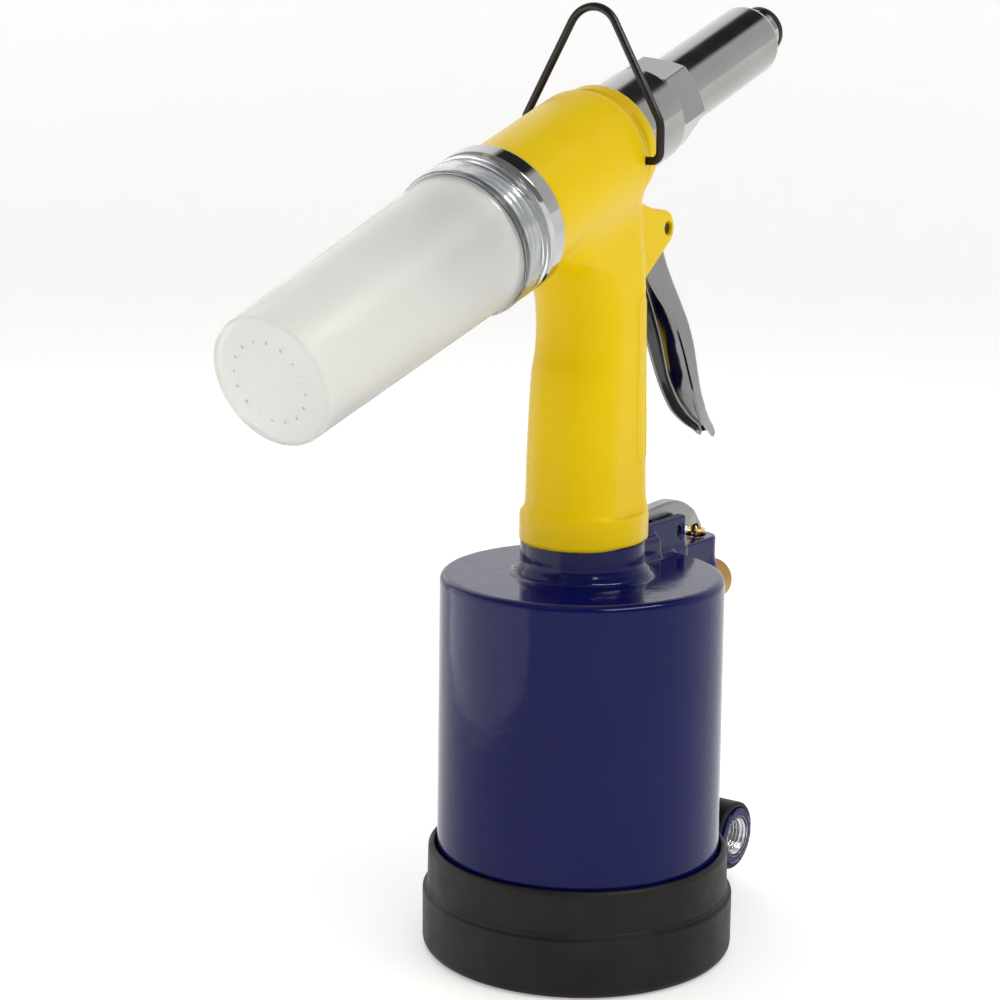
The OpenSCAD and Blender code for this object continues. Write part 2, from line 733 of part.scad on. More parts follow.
module collection_bottle() {
    color("white", 0.5) on_barrel() difference() {
        rotate_extrude($fn = 96) bottle_profile();
        for (i = [0 : vent_count - 1]) rotate(360 * i / vent_count)
            rod_at(12.3, 0, 0.75, -bottle_back - 1, -bottle_back + 3);
    }
}

// ---- hook ----

// Half of the hook, from the foot in the casting to the top of the arch.
function hook_half() =
    let (bend = 3, top_r = 9.5, apex = hook_h - top_r, low = 12, in_y = 9)
    concat(
        [for (y = [19, 20.5, 22]) [0, y, 0]],
        [for (q = arc(hook_out - bend, bend, bend, -90, 0, 5)) [0, q[0], q[1]]],
        [for (z = [6, 9, low]) [0, hook_out, z]],
        [for (i = [1 : 5]) [0, hook_out + (in_y - hook_out) * i / 6, low + (apex - low) * i / 6]],
        [for (q = arc(0, apex, top_r, 18, 90, 6)) [0, q[0], q[1]]]);

module hook_bail() {
    half = hook_half();
    n = len(half);
    path = concat(half, [for (i = [n - 2 : -1 : 0]) [0, -half[i][1], half[i][2]]]);
    color("#151515") translate([hook_x, 0, hook_z]) {
        wire(path, hook_wire_r, 10);
        for (m = [-1, 1]) translate([0, m * 17.1, 0]) rotate([-90 * m, 0, 0])
            cylinder(r = hook_wire_r + 0.02, h = 3);
    }
}

// ---- nose ----

module frame_head() {
    hex_h = hex_front - hex_back;
    color("silver") on_barrel() difference() {
        union() {
            rod(15.98, pull_bore_front, casting_front + 1);
            rod(13.2, casting_front, hex_front - 2);
            rotate_extrude($fn = 96) polygon([[0, casting_front], [frame_head_r - 0.6, casting_front],
                [frame_head_r, casting_front + 0.6], [frame_head_r, hex_back - 1.2],
                [frame_head_r - 1.2, hex_back], [0, hex_back]]);
            intersection() {
                rotate(-20) translate([0, 0, hex_back])
                    cylinder(r = hex_af / 2 / cos(30), h = hex_h, $fn = 6);
                translate([0, 0, hex_back])
                    cylinder(r1 = hex_af / 2 + 2 * hex_h - 0.5, r2 = hex_af / 2 - 0.5, h = hex_h, $fn = 96);
            }
        }
        rod(pull_rod_r + 0.06, pull_bore_front - 1, hex_front);
        rod(9.5, 6, 10);
        rod(12, 36, hex_front + 1);
        translate([0, 0, hex_front - 1]) cylinder(r1 = 12, r2 = 13, h = 1.01);
    }
}

module nose_housing() {
    shoulder = 4.5;
    color("silver") on_barrel() difference() {
        union() {
            rod(11.97, nose_bore_back, hex_front + 1);
            rotate_extrude($fn = 96) polygon(concat(
                [[0, hex_front], [nose_r, hex_front]],
                arc(nose_r - shoulder, nose_front - shoulder, shoulder, 0, 90),
                [[0, nose_front]]));
        }
        rod(nose_bore_r, nose_bore_back - 1, nose_bore_front);
        rod(5, nose_bore_front - 1, nose_front + 1);
    }
}

module nosepiece() {
    color("#222222") on_barrel() difference() {
        union() {
            rod(3.6, 99.2, nose_bore_front + 1);
            rod(4.97, nose_bore_front + 0.2, nose_front);
            rotate_extrude() polygon([[0, nose_front], [7.2, nose_front], [8.6, nose_front + 3.2],
                [8.6, nosepiece_front - 0.8], [7.8, nosepiece_front], [0, nosepiece_front]]);
        }
        rod(mandrel_r, 98, nosepiece_front + 1);
    }
}

function cone_r(s) =
    cone_r_back + (cone_r_front - cone_r_back) * (s - cone_back) / (case_front - cone_back);

module jaw_case() {
    color("gray") on_barrel() difference() {
        rod(case_r, rod_front, case_front);
        rod(5, rod_front - 1, rod_front + 11);
        rod(cone_r_back, rod_front + 10, cone_back);
        translate([0, 0, cone_back - 0.01])
            cylinder(r1 = cone_r_back, r2 = cone_r_front, h = case_front - cone_back + 0.02);
    }
}

// One of three jaws, filling a third of the cone.
module jaw(i) {
    slot = 0.45;
    color("dimgray") on_barrel() rotate(120 * i) difference() {
        rotate_extrude(angle = 120) polygon([[2, jaw_back], [cone_r(jaw_back) - jaw_play, jaw_back],
            [cone_r(jaw_front) - jaw_play, jaw_front], [2, jaw_front]]);
        translate([0, -1, jaw_back - 1]) cube([12, 1 + slot, 12]);
        rotate(120) translate([0, -slot, jaw_back - 1]) cube([12, 1 + slot, 12]);
    }
}
module jaw_1() { jaw(0); }
module jaw_2() { jaw(1); }
module jaw_3() { jaw(2); }

module jaw_pusher() {
    color("gray") on_barrel() difference() {
        union() {
            rod(cone_r_back - 0.8, 84, jaw_back - 0.1);
            rod(4.4, 77, 85);
        }
        rod(2.4, 76, 90);
    }
}

module pusher_spring() {
    color("gray") on_barrel() coil(6.1, 0.6, rod_front + 10.1, 83.9, 4);
}

module jaw_lock_nut() {
    color("gray") on_barrel() difference() {
        translate([0, 0, rod_front - 6]) cylinder(r = 10.4, h = 6, $fn = 6);
        rod(pull_rod_r + 0.02, rod_front - 7, rod_front + 1);
    }
}

rubber_boot();
cylinder_housing();
bottom_cover();
cover_oring();
cover_snap_ring();
piston_bumper();
air_piston();
air_piston_seal();
ram();
ram_nut();
ram_gland();
gland_seal();
neck_oring();
head_casting();
oil_plug();
oil_plug_washer();
trigger();
trigger_pin();
trigger_rod();
rocker_lever();
rocker_pin();
valve_stem();
valve_bush();
valve_spring();
silencer();
pull_piston();
pull_piston_seal();
rod_seal();
return_spring();
rear_cap();
collector_oring();
guide_tube();
collection_bottle();
hook_bail();
frame_head();
nose_housing();
jaw_case();
jaw_1();
jaw_2();
jaw_3();
jaw_pusher();
pusher_spring();
jaw_lock_nut();
nosepiece();
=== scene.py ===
"""Looks of the pneumatic rivet gun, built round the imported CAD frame.

Lengths in this script are in millimetres and are scaled to metres when a mesh is made.
+X points to the nose, +Y to the left side, +Z up.
"""

import json
import math

import bmesh
import bpy
import numpy as np
from mathutils import Matrix, Vector


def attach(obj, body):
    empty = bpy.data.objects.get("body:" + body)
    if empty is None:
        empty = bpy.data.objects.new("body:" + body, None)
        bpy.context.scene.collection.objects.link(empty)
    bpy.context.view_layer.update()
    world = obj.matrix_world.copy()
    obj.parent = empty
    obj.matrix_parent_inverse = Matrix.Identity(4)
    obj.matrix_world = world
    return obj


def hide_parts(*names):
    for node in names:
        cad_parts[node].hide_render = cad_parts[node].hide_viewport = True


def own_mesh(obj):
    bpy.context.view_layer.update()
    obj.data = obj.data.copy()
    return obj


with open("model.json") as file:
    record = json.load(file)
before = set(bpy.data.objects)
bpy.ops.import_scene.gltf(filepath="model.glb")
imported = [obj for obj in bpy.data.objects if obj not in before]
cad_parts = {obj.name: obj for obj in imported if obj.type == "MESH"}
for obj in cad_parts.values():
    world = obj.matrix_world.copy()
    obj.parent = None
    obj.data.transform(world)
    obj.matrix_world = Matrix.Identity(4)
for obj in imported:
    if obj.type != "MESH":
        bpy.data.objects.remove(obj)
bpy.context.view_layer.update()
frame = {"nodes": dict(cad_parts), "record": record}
STEP = 0.8

# ------------------------------ sizes and places in the CAD frame

MM = 0.001
TILT = math.radians(19)
BARREL_Z = 269.5
AX = np.array([math.cos(TILT), 0, math.sin(TILT)])
UP = np.array([-math.sin(TILT), 0, math.cos(TILT)])
SIDE = np.array([0.0, 1.0, 0.0])
BARREL_O = np.array([0, 0, BARREL_Z])
VALVE_X = 75.0
INLET_Z = 20.4
SILENCER_Z = 111.5
CYL_TOP = 130.4
NECK_TOP = 142.3
CASTING_BACK = -53
CAP_FRONT = -42
BOTTLE_END = -169.6
CYL_BORE = 43.02
TRIGGER_PIN = (34, 243.5)
ROCKER_PIN = (52, 136.5)
HOOK_EYE = (1.059, 267.961)
ROD_X = 14.5
PLUG_Z = 232

# ------------------------------ mesh helpers


def ring_faces(rows, n):
    """Quads between rows of n points, where each row closes on itself."""
    return [(i * n + k, i * n + (k + 1) % n, (i + 1) * n + (k + 1) % n, (i + 1) * n + k)
            for i in range(rows - 1) for k in range(n)]


def wire_faces(rows, n):
    """The same with both ends closed."""
    return ring_faces(rows, n) + [tuple(range(n)), tuple(range((rows - 1) * n, rows * n))]


def face_out(ob):
    """Turns every face outwards."""
    bm = bmesh.new()
    bm.from_mesh(ob.data)
    bmesh.ops.recalc_face_normals(bm, faces=bm.faces)
    bm.to_mesh(ob.data)
    bm.free()


def make_mesh(name, verts, faces, material, body, normals=None):
    """A piece on a body, from points in millimetres. Without normals, its faces are turned outwards."""
    me = bpy.data.meshes.new(name)
    me.from_pydata((np.asarray(verts, float) * MM).tolist(), [], [list(map(int, f)) for f in faces])
    me.validate()
    me.update()
    me.polygons.foreach_set("use_smooth", [True] * len(me.polygons))
    if normals is not None:
        me.normals_split_custom_set_from_vertices([tuple(n) for n in normals])
    ob = bpy.data.objects.new(name, me)
    bpy.context.scene.collection.objects.link(ob)
    me.materials.append(material)
    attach(ob, body)
    if normals is None:
        face_out(ob)
    return ob


def sharpen(ob, angle=35):
    """Marks edges over an angle as sharp and weighs the normals by face area."""
    bm = bmesh.new()
    bm.from_mesh(ob.data)
    for e in bm.edges:
        if len(e.link_faces) == 2 and e.calc_face_angle(0) > math.radians(angle):
            e.smooth = False
    bm.to_mesh(ob.data)
    bm.free()
    mod = ob.modifiers.new("normals", "WEIGHTED_NORMAL")
    mod.mode = "FACE_AREA"
    mod.keep_sharp = True


def rounded(points, steps=4):
    """A profile with its corners rounded. Each point is (r, s) or (r, s, radius)."""
    out = []
    n = len(points)
    for i, p in enumerate(points):
        c = np.array(p[:2], float)
        rad = p[2] if len(p) > 2 else 0
        if rad <= 0 or i in (0, n - 1):
            out.append(c)
            continue
        a = np.array(points[i - 1][:2], float) - c
        b = np.array(points[i + 1][:2], float) - c
        la, lb = np.linalg.norm(a), np.linalg.norm(b)
        a, b = a / la, b / lb
        ang = math.acos(max(-1, min(1, float(a @ b))))
        t = min(rad / math.tan(ang / 2), 0.48 * la, 0.48 * lb)
        r = t * math.tan(ang / 2)
        mid = (a + b) / np.linalg.norm(a + b)
        o = c + mid * (r / math.sin(ang / 2))
        v0, v1 = c + a * t - o, c + b * t - o
        sweep = math.acos(max(-1, min(1, float(v0 @ v1) / (r * r))))
        for k in range(steps + 1):
            f = k / steps
            w = (math.sin((1 - f) * sweep) * v0 + math.sin(f * sweep) * v1) / math.sin(sweep)
            out.append(o + w)
    return np.array(out)


def lathe(name, profile, material, body, origin=(0, 0, 0), axis=(0, 0, 1), ref=(1, 0, 0),
          segs=128, slot=None):
    """Turns a profile of (radius, distance along the axis). Radius 0 at an end closes it with a point."""
    o, ax, u = (np.array(v, float) for v in (origin, axis, ref))
    w = np.cross(ax, u)
    verts, rings = [], []
    for r, s in profile:
        if r < 1e-6:
            rings.append([len(verts)])
            verts.append(o + ax * s)
            continue
        ring = []
        for k in range(segs):
            t = 2 * math.pi * k / segs
            ring.append(len(verts))
            verts.append(o + ax * s + u * r * math.cos(t) + w * r * math.sin(t))
        rings.append(ring)
    faces = []
    for a, b in zip(rings[:-1], rings[1:]):
        if len(a) == 1 and len(b) == 1:
            continue
        for k in range(segs):
            j = (k + 1) % segs
            if len(a) == 1:
                faces.append((a[0], b[j], b[k]))
            elif len(b) == 1:
                faces.append((a[k], a[j], b[0]))
            else:
                faces.append((a[k], a[j], b[j], b[k]))
    ob = make_mesh(name, verts, faces, material, body)
    sharpen(ob, 38)
    return ob


def barrel_lathe(name, profile, material, body, **more):
    """A turned piece on the barrel's axis."""
    return lathe(name, profile, material, body, origin=BARREL_O, axis=AX, ref=UP, **more)


def curve_through(points, per=8):
    """A smooth line through points (Catmull-Rom)."""
    p = np.array(points, float)
    ext = np.vstack([2 * p[0] - p[1], p, 2 * p[-1] - p[-2]])
    out = []
    for i in range(len(p) - 1):
        a, b, c, d = ext[i], ext[i + 1], ext[i + 2], ext[i + 3]
        for k in range(per):
            t = k / per
            out.append(0.5 * (2 * b + (c - a) * t + (2 * a - 5 * b + 4 * c - d) * t * t
                              + (3 * b - a - 3 * c + d) * t ** 3))
    out.append(p[-1])
    return np.array(out)


def resample(line, n):
    """The same line with n evenly spaced points."""
    seg = np.linalg.norm(np.diff(line, axis=0), axis=1)
    s = np.concatenate([[0], np.cumsum(seg)])
    t = np.linspace(0, s[-1], n)
    return np.stack([np.interp(t, s, line[:, k]) for k in range(line.shape[1])], 1)


# ------------------------------ shapes as distance fields


def smin(a, b, k):
    """Union of two shapes with a fillet of about k."""
    h = np.clip(0.5 + 0.5 * (b - a) / k, 0, 1)
    return b * (1 - h) + a * h - k * h * (1 - h)


def smax(a, b, k):
    """Intersection of two shapes with an edge rounded by about k."""
    return -smin(-a, -b, k)


def cyl_z(p, x, y, r, z0, z1, edge=0.6):
    """Upright cylinder with rounded ends."""
    q = np.sqrt((p[0] - x) ** 2 + (p[1] - y) ** 2) - r
    h = np.maximum(z0 - p[2], p[2] - z1)
    return round_pair(q, h, edge)


def round_pair(q, h, edge):
    """A side q and an end h that meet in a rounded edge."""
    a, b = q + edge, h + edge
    outside = np.sqrt(np.maximum(a, 0) ** 2 + np.maximum(b, 0) ** 2)
    return np.minimum(np.maximum(a, b), 0) + outside - edge


def box(p, lo, hi, edge=0.5):
    """Block between two corners with rounded edges."""
    c = [(a + b) / 2 for a, b in zip(lo, hi)]
    h = [(b - a) / 2 - edge for a, b in zip(lo, hi)]
    q = [np.abs(p[i] - c[i]) - h[i] for i in range(3)]
    out = np.sqrt(sum(np.maximum(v, 0) ** 2 for v in q))
    return out + np.minimum(np.maximum(np.maximum(q[0], q[1]), q[2]), 0) - edge


def cyl_between(p, a, b, r, edge=0.5):
    """Cylinder from a to b with rounded ends."""
    a, b = np.array(a, float), np.array(b, float)
    d = b - a
    length = np.linalg.norm(d)
    d = d / length
    v = [p[i] - a[i] for i in range(3)]
    t = v[0] * d[0] + v[1] * d[1] + v[2] * d[2]
    rad = np.sqrt(np.maximum(v[0] ** 2 + v[1] ** 2 + v[2] ** 2 - t * t, 0))
    return round_pair(rad - r, np.maximum(-t, t - length), edge)


def barrel_coords(p):
    """Distance along the barrel, upwards across it, and from its axis."""
    dz = p[2] - BARREL_Z
    s = p[0] * AX[0] + dz * AX[2]
    n = p[0] * UP[0] + dz * UP[2]
    return s, n, np.sqrt(n * n + p[1] ** 2)


def poly_xz(p, pts):
    """Signed distance to a closed outline in the XZ plane."""
    pts = np.array(pts, float)
    n = len(pts)
    d = np.full(p[0].shape, 1e9)
    sign = np.ones(p[0].shape)
    for i in range(n):
        a, b = pts[i], pts[(i + 1) % n]
        e = b - a
        wx, wz = p[0] - a[0], p[2] - a[1]
        t = np.clip((wx * e[0] + wz * e[1]) / (e @ e), 0, 1)
        d = np.minimum(d, (wx - e[0] * t) ** 2 + (wz - e[1] * t) ** 2)
        c1 = p[2] >= a[1]
        c2 = p[2] < b[1]
        c3 = e[0] * wz > e[1] * wx
        flip = (c1 & c2 & c3) | (~c1 & ~c2 & ~c3)
        sign = np.where(flip, -sign, sign)
    return sign * np.sqrt(d)


def plate_xz(p, pts, y0, y1, edge=0.5):
    """Plate with an outline in the XZ plane, from y0 to y1."""
    h = np.maximum(y0 - p[1], p[1] - y1)
    return round_pair(poly_xz(p, pts), h, edge)


def mesh_of(field, lo, hi, step):
    """Surface of field = 0 by surface nets, then every vertex is moved onto the surface."""
    axes = [np.arange(lo[i] - step, hi[i] + 2 * step, step) for i in range(3)]
    grid = np.meshgrid(*axes, indexing="ij")
    v = field(grid)
    inside = v < 0
    corner = [(i, j, k) for i in (0, 1) for j in (0, 1) for k in (0, 1)]
    cut = {c: tuple(slice(o, n - 1 + o) for o, n in zip(c, v.shape)) for c in corner}
    count = sum(inside[cut[c]].astype(np.int8) for c in corner)
    active = (count > 0) & (count < 8)
    idx = -np.ones(active.shape, np.int64)
    idx[active] = np.arange(active.sum())
    total = np.zeros((int(active.sum()), 3))
    weight = np.zeros(int(active.sum()))
    for c in corner:
        for ax in range(3):
            if c[ax]:
                continue
            d = list(c)
            d[ax] = 1
            d = tuple(d)
            va, vb = v[cut[c]][active], v[cut[d]][active]
            crossing = (va < 0) != (vb < 0)
            t = np.where(crossing, va / np.where(crossing, va - vb, 1), 0)
            pos = np.tile(np.array(c, float), (len(t), 1))
            pos[:, ax] += t
            total += pos * crossing[:, None]
            weight += crossing
    cells = np.argwhere(active)
    verts = (cells + total / weight[:, None]) * step + np.array([a[0] for a in axes])
    faces = []
    for ax in range(3):
        b, c = (ax + 1) % 3, (ax + 2) % 3
        sl0 = [slice(1, -1)] * 3
        sl0[ax] = slice(0, -1)
        sl1 = list(sl0)
        sl1[ax] = slice(1, None)
        s0, s1 = inside[tuple(sl0)], inside[tuple(sl1)]
        for out in (False, True):
            hit = np.argwhere((s0 & ~s1) if out else (~s0 & s1))
            if not len(hit):
                continue
            base = hit.copy()
            base[:, b] += 1
            base[:, c] += 1
            quad = []
            for db, dc in ((-1, -1), (0, -1), (0, 0), (-1, 0)):
                q = base.copy()
                q[:, b] += db
                q[:, c] += dc
                quad.append(idx[q[:, 0], q[:, 1], q[:, 2]])
            quad = np.stack(quad, 1)
            faces.append(quad if out else quad[:, ::-1])
    faces = np.vstack(faces)

    def grad(pts):
        e = 0.05
        g = np.zeros_like(pts)
        for k in range(3):
            a, b = pts.copy(), pts.copy()
            a[:, k] += e
            b[:, k] -= e
            g[:, k] = (field([a[:, 0], a[:, 1], a[:, 2]]) - field([b[:, 0], b[:, 1], b[:, 2]])) / (2 * e)
        return g

    for _ in range(3):
        g = grad(verts)
        d = field([verts[:, 0], verts[:, 1], verts[:, 2]])
        move = g * (d / np.maximum((g ** 2).sum(1), 0.25))[:, None]
        size = np.linalg.norm(move, axis=1, keepdims=True)
        verts = verts - move * np.minimum(1, 0.4 * step / np.maximum(size, 1e-9))
    g = grad(verts)
    return verts, faces, g / np.maximum(np.linalg.norm(g, axis=1, keepdims=True), 1e-9)


def solid(name, field, lo, hi, material, body, step=None):
    """A piece whose surface is where field = 0, inside the block from lo to hi."""
    verts, faces, normals = mesh_of(field, lo, hi, step or STEP)
    return make_mesh(name, verts, faces, material, body, normals=normals)


# ------------------------------ materials


class Shader:
    """A node material with one Principled shader, in the object's own coordinates."""

    def __init__(self, name):
        self.m = bpy.data.materials.new(name)
        self.m.use_nodes = True
        self.t = self.m.node_tree
        self.t.nodes.clear()
        self.out = self.t.nodes.new("ShaderNodeOutputMaterial")
        self.p = self.t.nodes.new("ShaderNodeBsdfPrincipled")
        self.link(self.p.outputs[0], self.out.inputs["Surface"])
        self.co = self.t.nodes.new("ShaderNodeTexCoord").outputs["Object"]

    def link(self, a, b):
        self.t.links.new(a, b)

    def put(self, socket, value):
        if hasattr(value, "links") or hasattr(value, "is_linked"):
            self.link(value, socket)
        else:
            socket.default_value = value

    def noise(self, scale, detail=3.0, rough=0.5):
        n = self.t.nodes.new("ShaderNodeTexNoise")
        n.inputs["Scale"].default_value = scale
        n.inputs["Detail"].default_value = detail
        n.inputs["Roughness"].default_value = rough
        self.link(self.co, n.inputs["Vector"])
        return n.outputs["Fac"]

    def ramp(self, fac, stops):
        """Two stops of (position, grey level)."""
        n = self.t.nodes.new("ShaderNodeValToRGB")
        for e, (pos, c) in zip(n.color_ramp.elements, stops):
            e.position = pos
            e.color = (c, c, c, 1)
        self.link(fac, n.inputs[0])
        return n.outputs["Color"]

    def mix(self, fac, a, b):
        n = self.t.nodes.new("ShaderNodeMix")
        n.data_type = "RGBA"
        for s, v in ((n.inputs[0], fac), (n.inputs[6], a), (n.inputs[7], b)):
            if isinstance(v, tuple):
                s.default_value = (*v, 1)
            else:
                self.put(s, v)
        return n.outputs[2]

    def math(self, op, a, b):
        n = self.t.nodes.new("ShaderNodeMath")
        n.operation = op
        self.put(n.inputs[0], a)
        self.put(n.inputs[1], b)
        return n.outputs[0]

    def bump(self, *layers, edge=0.0):
        """Layers of (height socket, strength, distance in metres)."""
        normal = None
        if edge:
            b = self.t.nodes.new("ShaderNodeBevel")
            b.samples = 4
            b.inputs["Radius"].default_value = edge
            normal = b.outputs[0]
        for height, strength, dist in layers:
            n = self.t.nodes.new("ShaderNodeBump")
            n.inputs["Strength"].default_value = strength
            n.inputs["Distance"].default_value = dist
            self.link(height, n.inputs["Height"])
            if normal:
                self.link(normal, n.inputs["Normal"])
            normal = n.outputs[0]
        self.link(normal, self.p.inputs["Normal"])

    def wear(self):
        """Mask of worn convex edges."""
        g = self.t.nodes.new("ShaderNodeNewGeometry")
        edge = self.ramp(g.outputs["Pointiness"], [(0.56, 0.0), (0.68, 1.0)])
        spots = self.ramp(self.noise(220, 4), [(0.42, 0.0), (0.6, 1.0)])
        return self.math("MULTIPLY", edge, spots)


def paint(name, base, dark, light, worn, rough, ior, wear_amount=0.35, gloss=(1, 1, 1)):
    """Sprayed enamel with orange peel, and worn edges in the colour worn."""
    s = Shader(name)
    s.p.inputs["IOR"].default_value = ior
    s.p.inputs["Specular Tint"].default_value = (*gloss, 1)
    tone = s.mix(s.ramp(s.noise(26, 3), [(0.3, 0.0), (0.7, 1.0)]), dark, light)
    tone = s.mix(0.55, tone, base)
    mask = s.math("MULTIPLY", s.wear(), wear_amount)
    s.put(s.p.inputs["Base Color"], s.mix(mask, tone, worn))
    smudge = s.ramp(s.noise(55, 5, 0.6), [(0.3, rough * 0.8), (0.75, rough * 1.3)])
    s.put(s.p.inputs["Roughness"], smudge)
    s.bump((s.noise(330, 2), 0.1, 0.0004), (s.noise(90, 2), 0.1, 0.0012))
    return s.m


def metal(name, base, other, rough, brushed, specks=0.0, grain=900):
    """Bare metal that wavers between two tones, with a fine grain and dark specks."""
    s = Shader(name)
    s.p.inputs["Metallic"].default_value = 1.0
    tone = s.mix(s.ramp(s.noise(48, 4), [(0.3, 0.0), (0.72, 1.0)]), base, other)
    if specks:
        dots = s.ramp(s.noise(420, 5, 0.7), [(0.62, 0.0), (0.72, specks)])
        tone = s.mix(dots, tone, tuple(c * 0.35 for c in base))
    s.put(s.p.inputs["Base Color"], tone)
    s.put(s.p.inputs["Roughness"], s.ramp(s.noise(70, 5, 0.6), [(0.3, rough * 0.75), (0.75, rough * 1.35)]))
    s.bump((s.noise(grain, 2), brushed, 0.00025), (s.noise(60, 2), brushed * 0.6, 0.0006), edge=0.00025)
    return s.m


def rubber(name, base, rough, grain=0.3):
    """Matt rubber with dust in its pores."""
    s = Shader(name)
    s.p.inputs["IOR"].default_value = 1.27
    dust = s.ramp(s.noise(36, 6, 0.65), [(0.35, 0.0), (0.8, 1.0)])
    s.put(s.p.inputs["Base Color"], s.mix(dust, base, tuple(c * 1.9 + 0.004 for c in base)))
    s.put(s.p.inputs["Roughness"], s.ramp(s.noise(120, 4), [(0.3, rough * 0.85), (0.7, rough * 1.12)]))
    s.bump((s.noise(1500, 3, 0.6), grain, 0.00012), (s.noise(160, 3), grain * 0.5, 0.0003), edge=0.0003)
    return s.m


def milky(name, clear=0.68, low=(0.885, 0.88, 0.86), rough=0.46, coat=0.15):
    """Plastic that lets through a share of the light."""
    s = Shader(name)
    s.put(s.p.inputs["Base Color"], s.mix(s.noise(20, 2), low, tuple(c + 0.05 for c in low)))
    s.put(s.p.inputs["Roughness"], s.ramp(s.noise(45, 3), [(0.3, rough * 0.9), (0.7, rough * 1.2)]))
    s.p.inputs["Transmission Weight"].default_value = clear
    s.p.inputs["IOR"].default_value = 1.36
    s.p.inputs["Coat Weight"].default_value = coat
    s.p.inputs["Coat Roughness"].default_value = 0.25
    s.bump((s.noise(260, 2), 0.12, 0.0003))
    return s.m


MAT = {
    "indigo_paint": paint("indigo_paint", (0.003, 0.0038, 0.072), (0.002, 0.003, 0.060),
                          (0.004, 0.005, 0.085), (0.22, 0.22, 0.30), rough=0.11, ior=1.28),
    "yellow_paint": paint("yellow_paint", (0.74, 0.505, 0.0005), (0.70, 0.465, 0.0005), (0.77, 0.54, 0.001),
                          (0.84, 0.66, 0.10), rough=0.30, ior=1.29, wear_amount=0.2,
                          gloss=(1.0, 0.84, 0.40)),
    "bright_chrome": metal("bright_chrome", (0.52, 0.52, 0.52), (0.47, 0.47, 0.475), 0.09, 0.05,
                           specks=0.25),
    "satin_steel": metal("satin_steel", (0.30, 0.30, 0.295), (0.24, 0.24, 0.24), 0.30, 0.16,
                         specks=0.4),
    "machined_aluminium": metal("machined_aluminium", (0.72, 0.72, 0.73), (0.64, 0.64, 0.66), 0.32, 0.12),
    "black_steel": metal("black_steel", (0.045, 0.043, 0.042), (0.030, 0.029, 0.030), 0.36, 0.1),
    "spring_steel": metal("spring_steel", (0.42, 0.43, 0.45), (0.34, 0.35, 0.38), 0.25, 0.08),
    "valve_brass": metal("valve_brass", (0.78, 0.56, 0.24), (0.66, 0.45, 0.18), 0.24, 0.08),
    "sintered_bronze": metal("sintered_bronze", (0.52, 0.32, 0.12), (0.40, 0.23, 0.08), 0.5, 0.9, grain=1500),
    "copper_washer": metal("copper_washer", (0.72, 0.38, 0.24), (0.6, 0.3, 0.18), 0.3, 0.1),
    # a darker copy of bright chrome for the nose: painted shade, standing in for the darker surroundings that
    # the nose's reflections lack
    "shaded_nose_chrome": metal("shaded_nose_chrome", (0.41, 0.41, 0.405), (0.37, 0.37, 0.365), 0.13, 0.015, specks=0.2),
    "polished_steel": metal("polished_steel", (0.27, 0.27, 0.27), (0.23, 0.23, 0.23), 0.08, 0.03, specks=0.2),
    "bare_thread": metal("bare_thread", (0.74, 0.74, 0.76), (0.62, 0.62, 0.65), 0.22, 0.06),
    "boot_rubber": rubber("boot_rubber", (0.0062, 0.0058, 0.0056), 0.5),
    "seal_rubber": rubber("seal_rubber", (0.010, 0.010, 0.012), 0.45, 0.15),
    "milky_plastic": milky("milky_plastic"),
    "clear_rim": milky("clear_rim", 0.97, (0.90, 0.92, 0.94), 0.12, 0.0),
}

slot_of = {s["node"]: s["material_slot"] for s in frame["record"]["subparts"]}
for node, ob in frame["nodes"].items():
    ob.data.materials.clear()
    ob.data.materials.append(MAT[slot_of[node]])

# ------------------------------ camera, floor and light

LENS_MM = 87.07
CAMERA_AT = Vector((-0.6634, -0.4262, 0.3179))
FORWARD = Vector((0.80474, 0.55794, -0.20271))
RIGHT = Vector((0.57143, -0.82059, 0.00993))
BACK = -FORWARD.normalized()
RIGHT = (RIGHT - BACK * RIGHT.dot(BACK)).normalized()
ABOVE = BACK.cross(RIGHT)
cam_data = bpy.data.cameras.new("camera")
cam_data.sensor_width = 36
cam_data.lens = LENS_MM
cam_data.clip_start = 0.05
cam_data.clip_end = 50
camera = bpy.data.objects.new("camera", cam_data)
bpy.context.scene.collection.objects.link(camera)
spot = Matrix((RIGHT, ABOVE, BACK)).transposed().to_4x4()
spot.translation = CAMERA_AT
camera.matrix_world = spot
bpy.context.scene.camera = camera

floor_mat = Shader("floor")
floor_mat.put(floor_mat.p.inputs["Base Color"],
              floor_mat.mix(floor_mat.noise(1.5, 2), (0.86, 0.86, 0.86), (0.89, 0.89, 0.89)))
floor_mat.p.inputs["Roughness"].default_value = 0.85
floor_mat.p.inputs["Emission Color"].default_value = (1, 1, 1, 1)
floor_mat.p.inputs["Emission Strength"].default_value = 0.35


def softbox(name, where, size, power, target=(0, 0, 0.16), colour=(1, 1, 1)):
    """An area light. where is (right, up, back) from the target, as the camera sees it at rest."""
    data = bpy.data.lights.new(name, "AREA")
    data.shape = "RECTANGLE"
    data.size, data.size_y = size
    data.energy = power
    data.color = colour
    ob = bpy.data.objects.new(name, data)
    bpy.context.scene.collection.objects.link(ob)
    pos = Vector(target) + RIGHT * where[0] + Vector((0, 0, 1)) * where[1] + BACK * where[2]
    ob.location = pos
    ob.rotation_mode = "QUATERNION"
    ob.rotation_quaternion = (Vector(target) - pos).to_track_quat("-Z", "Y")
    return ob


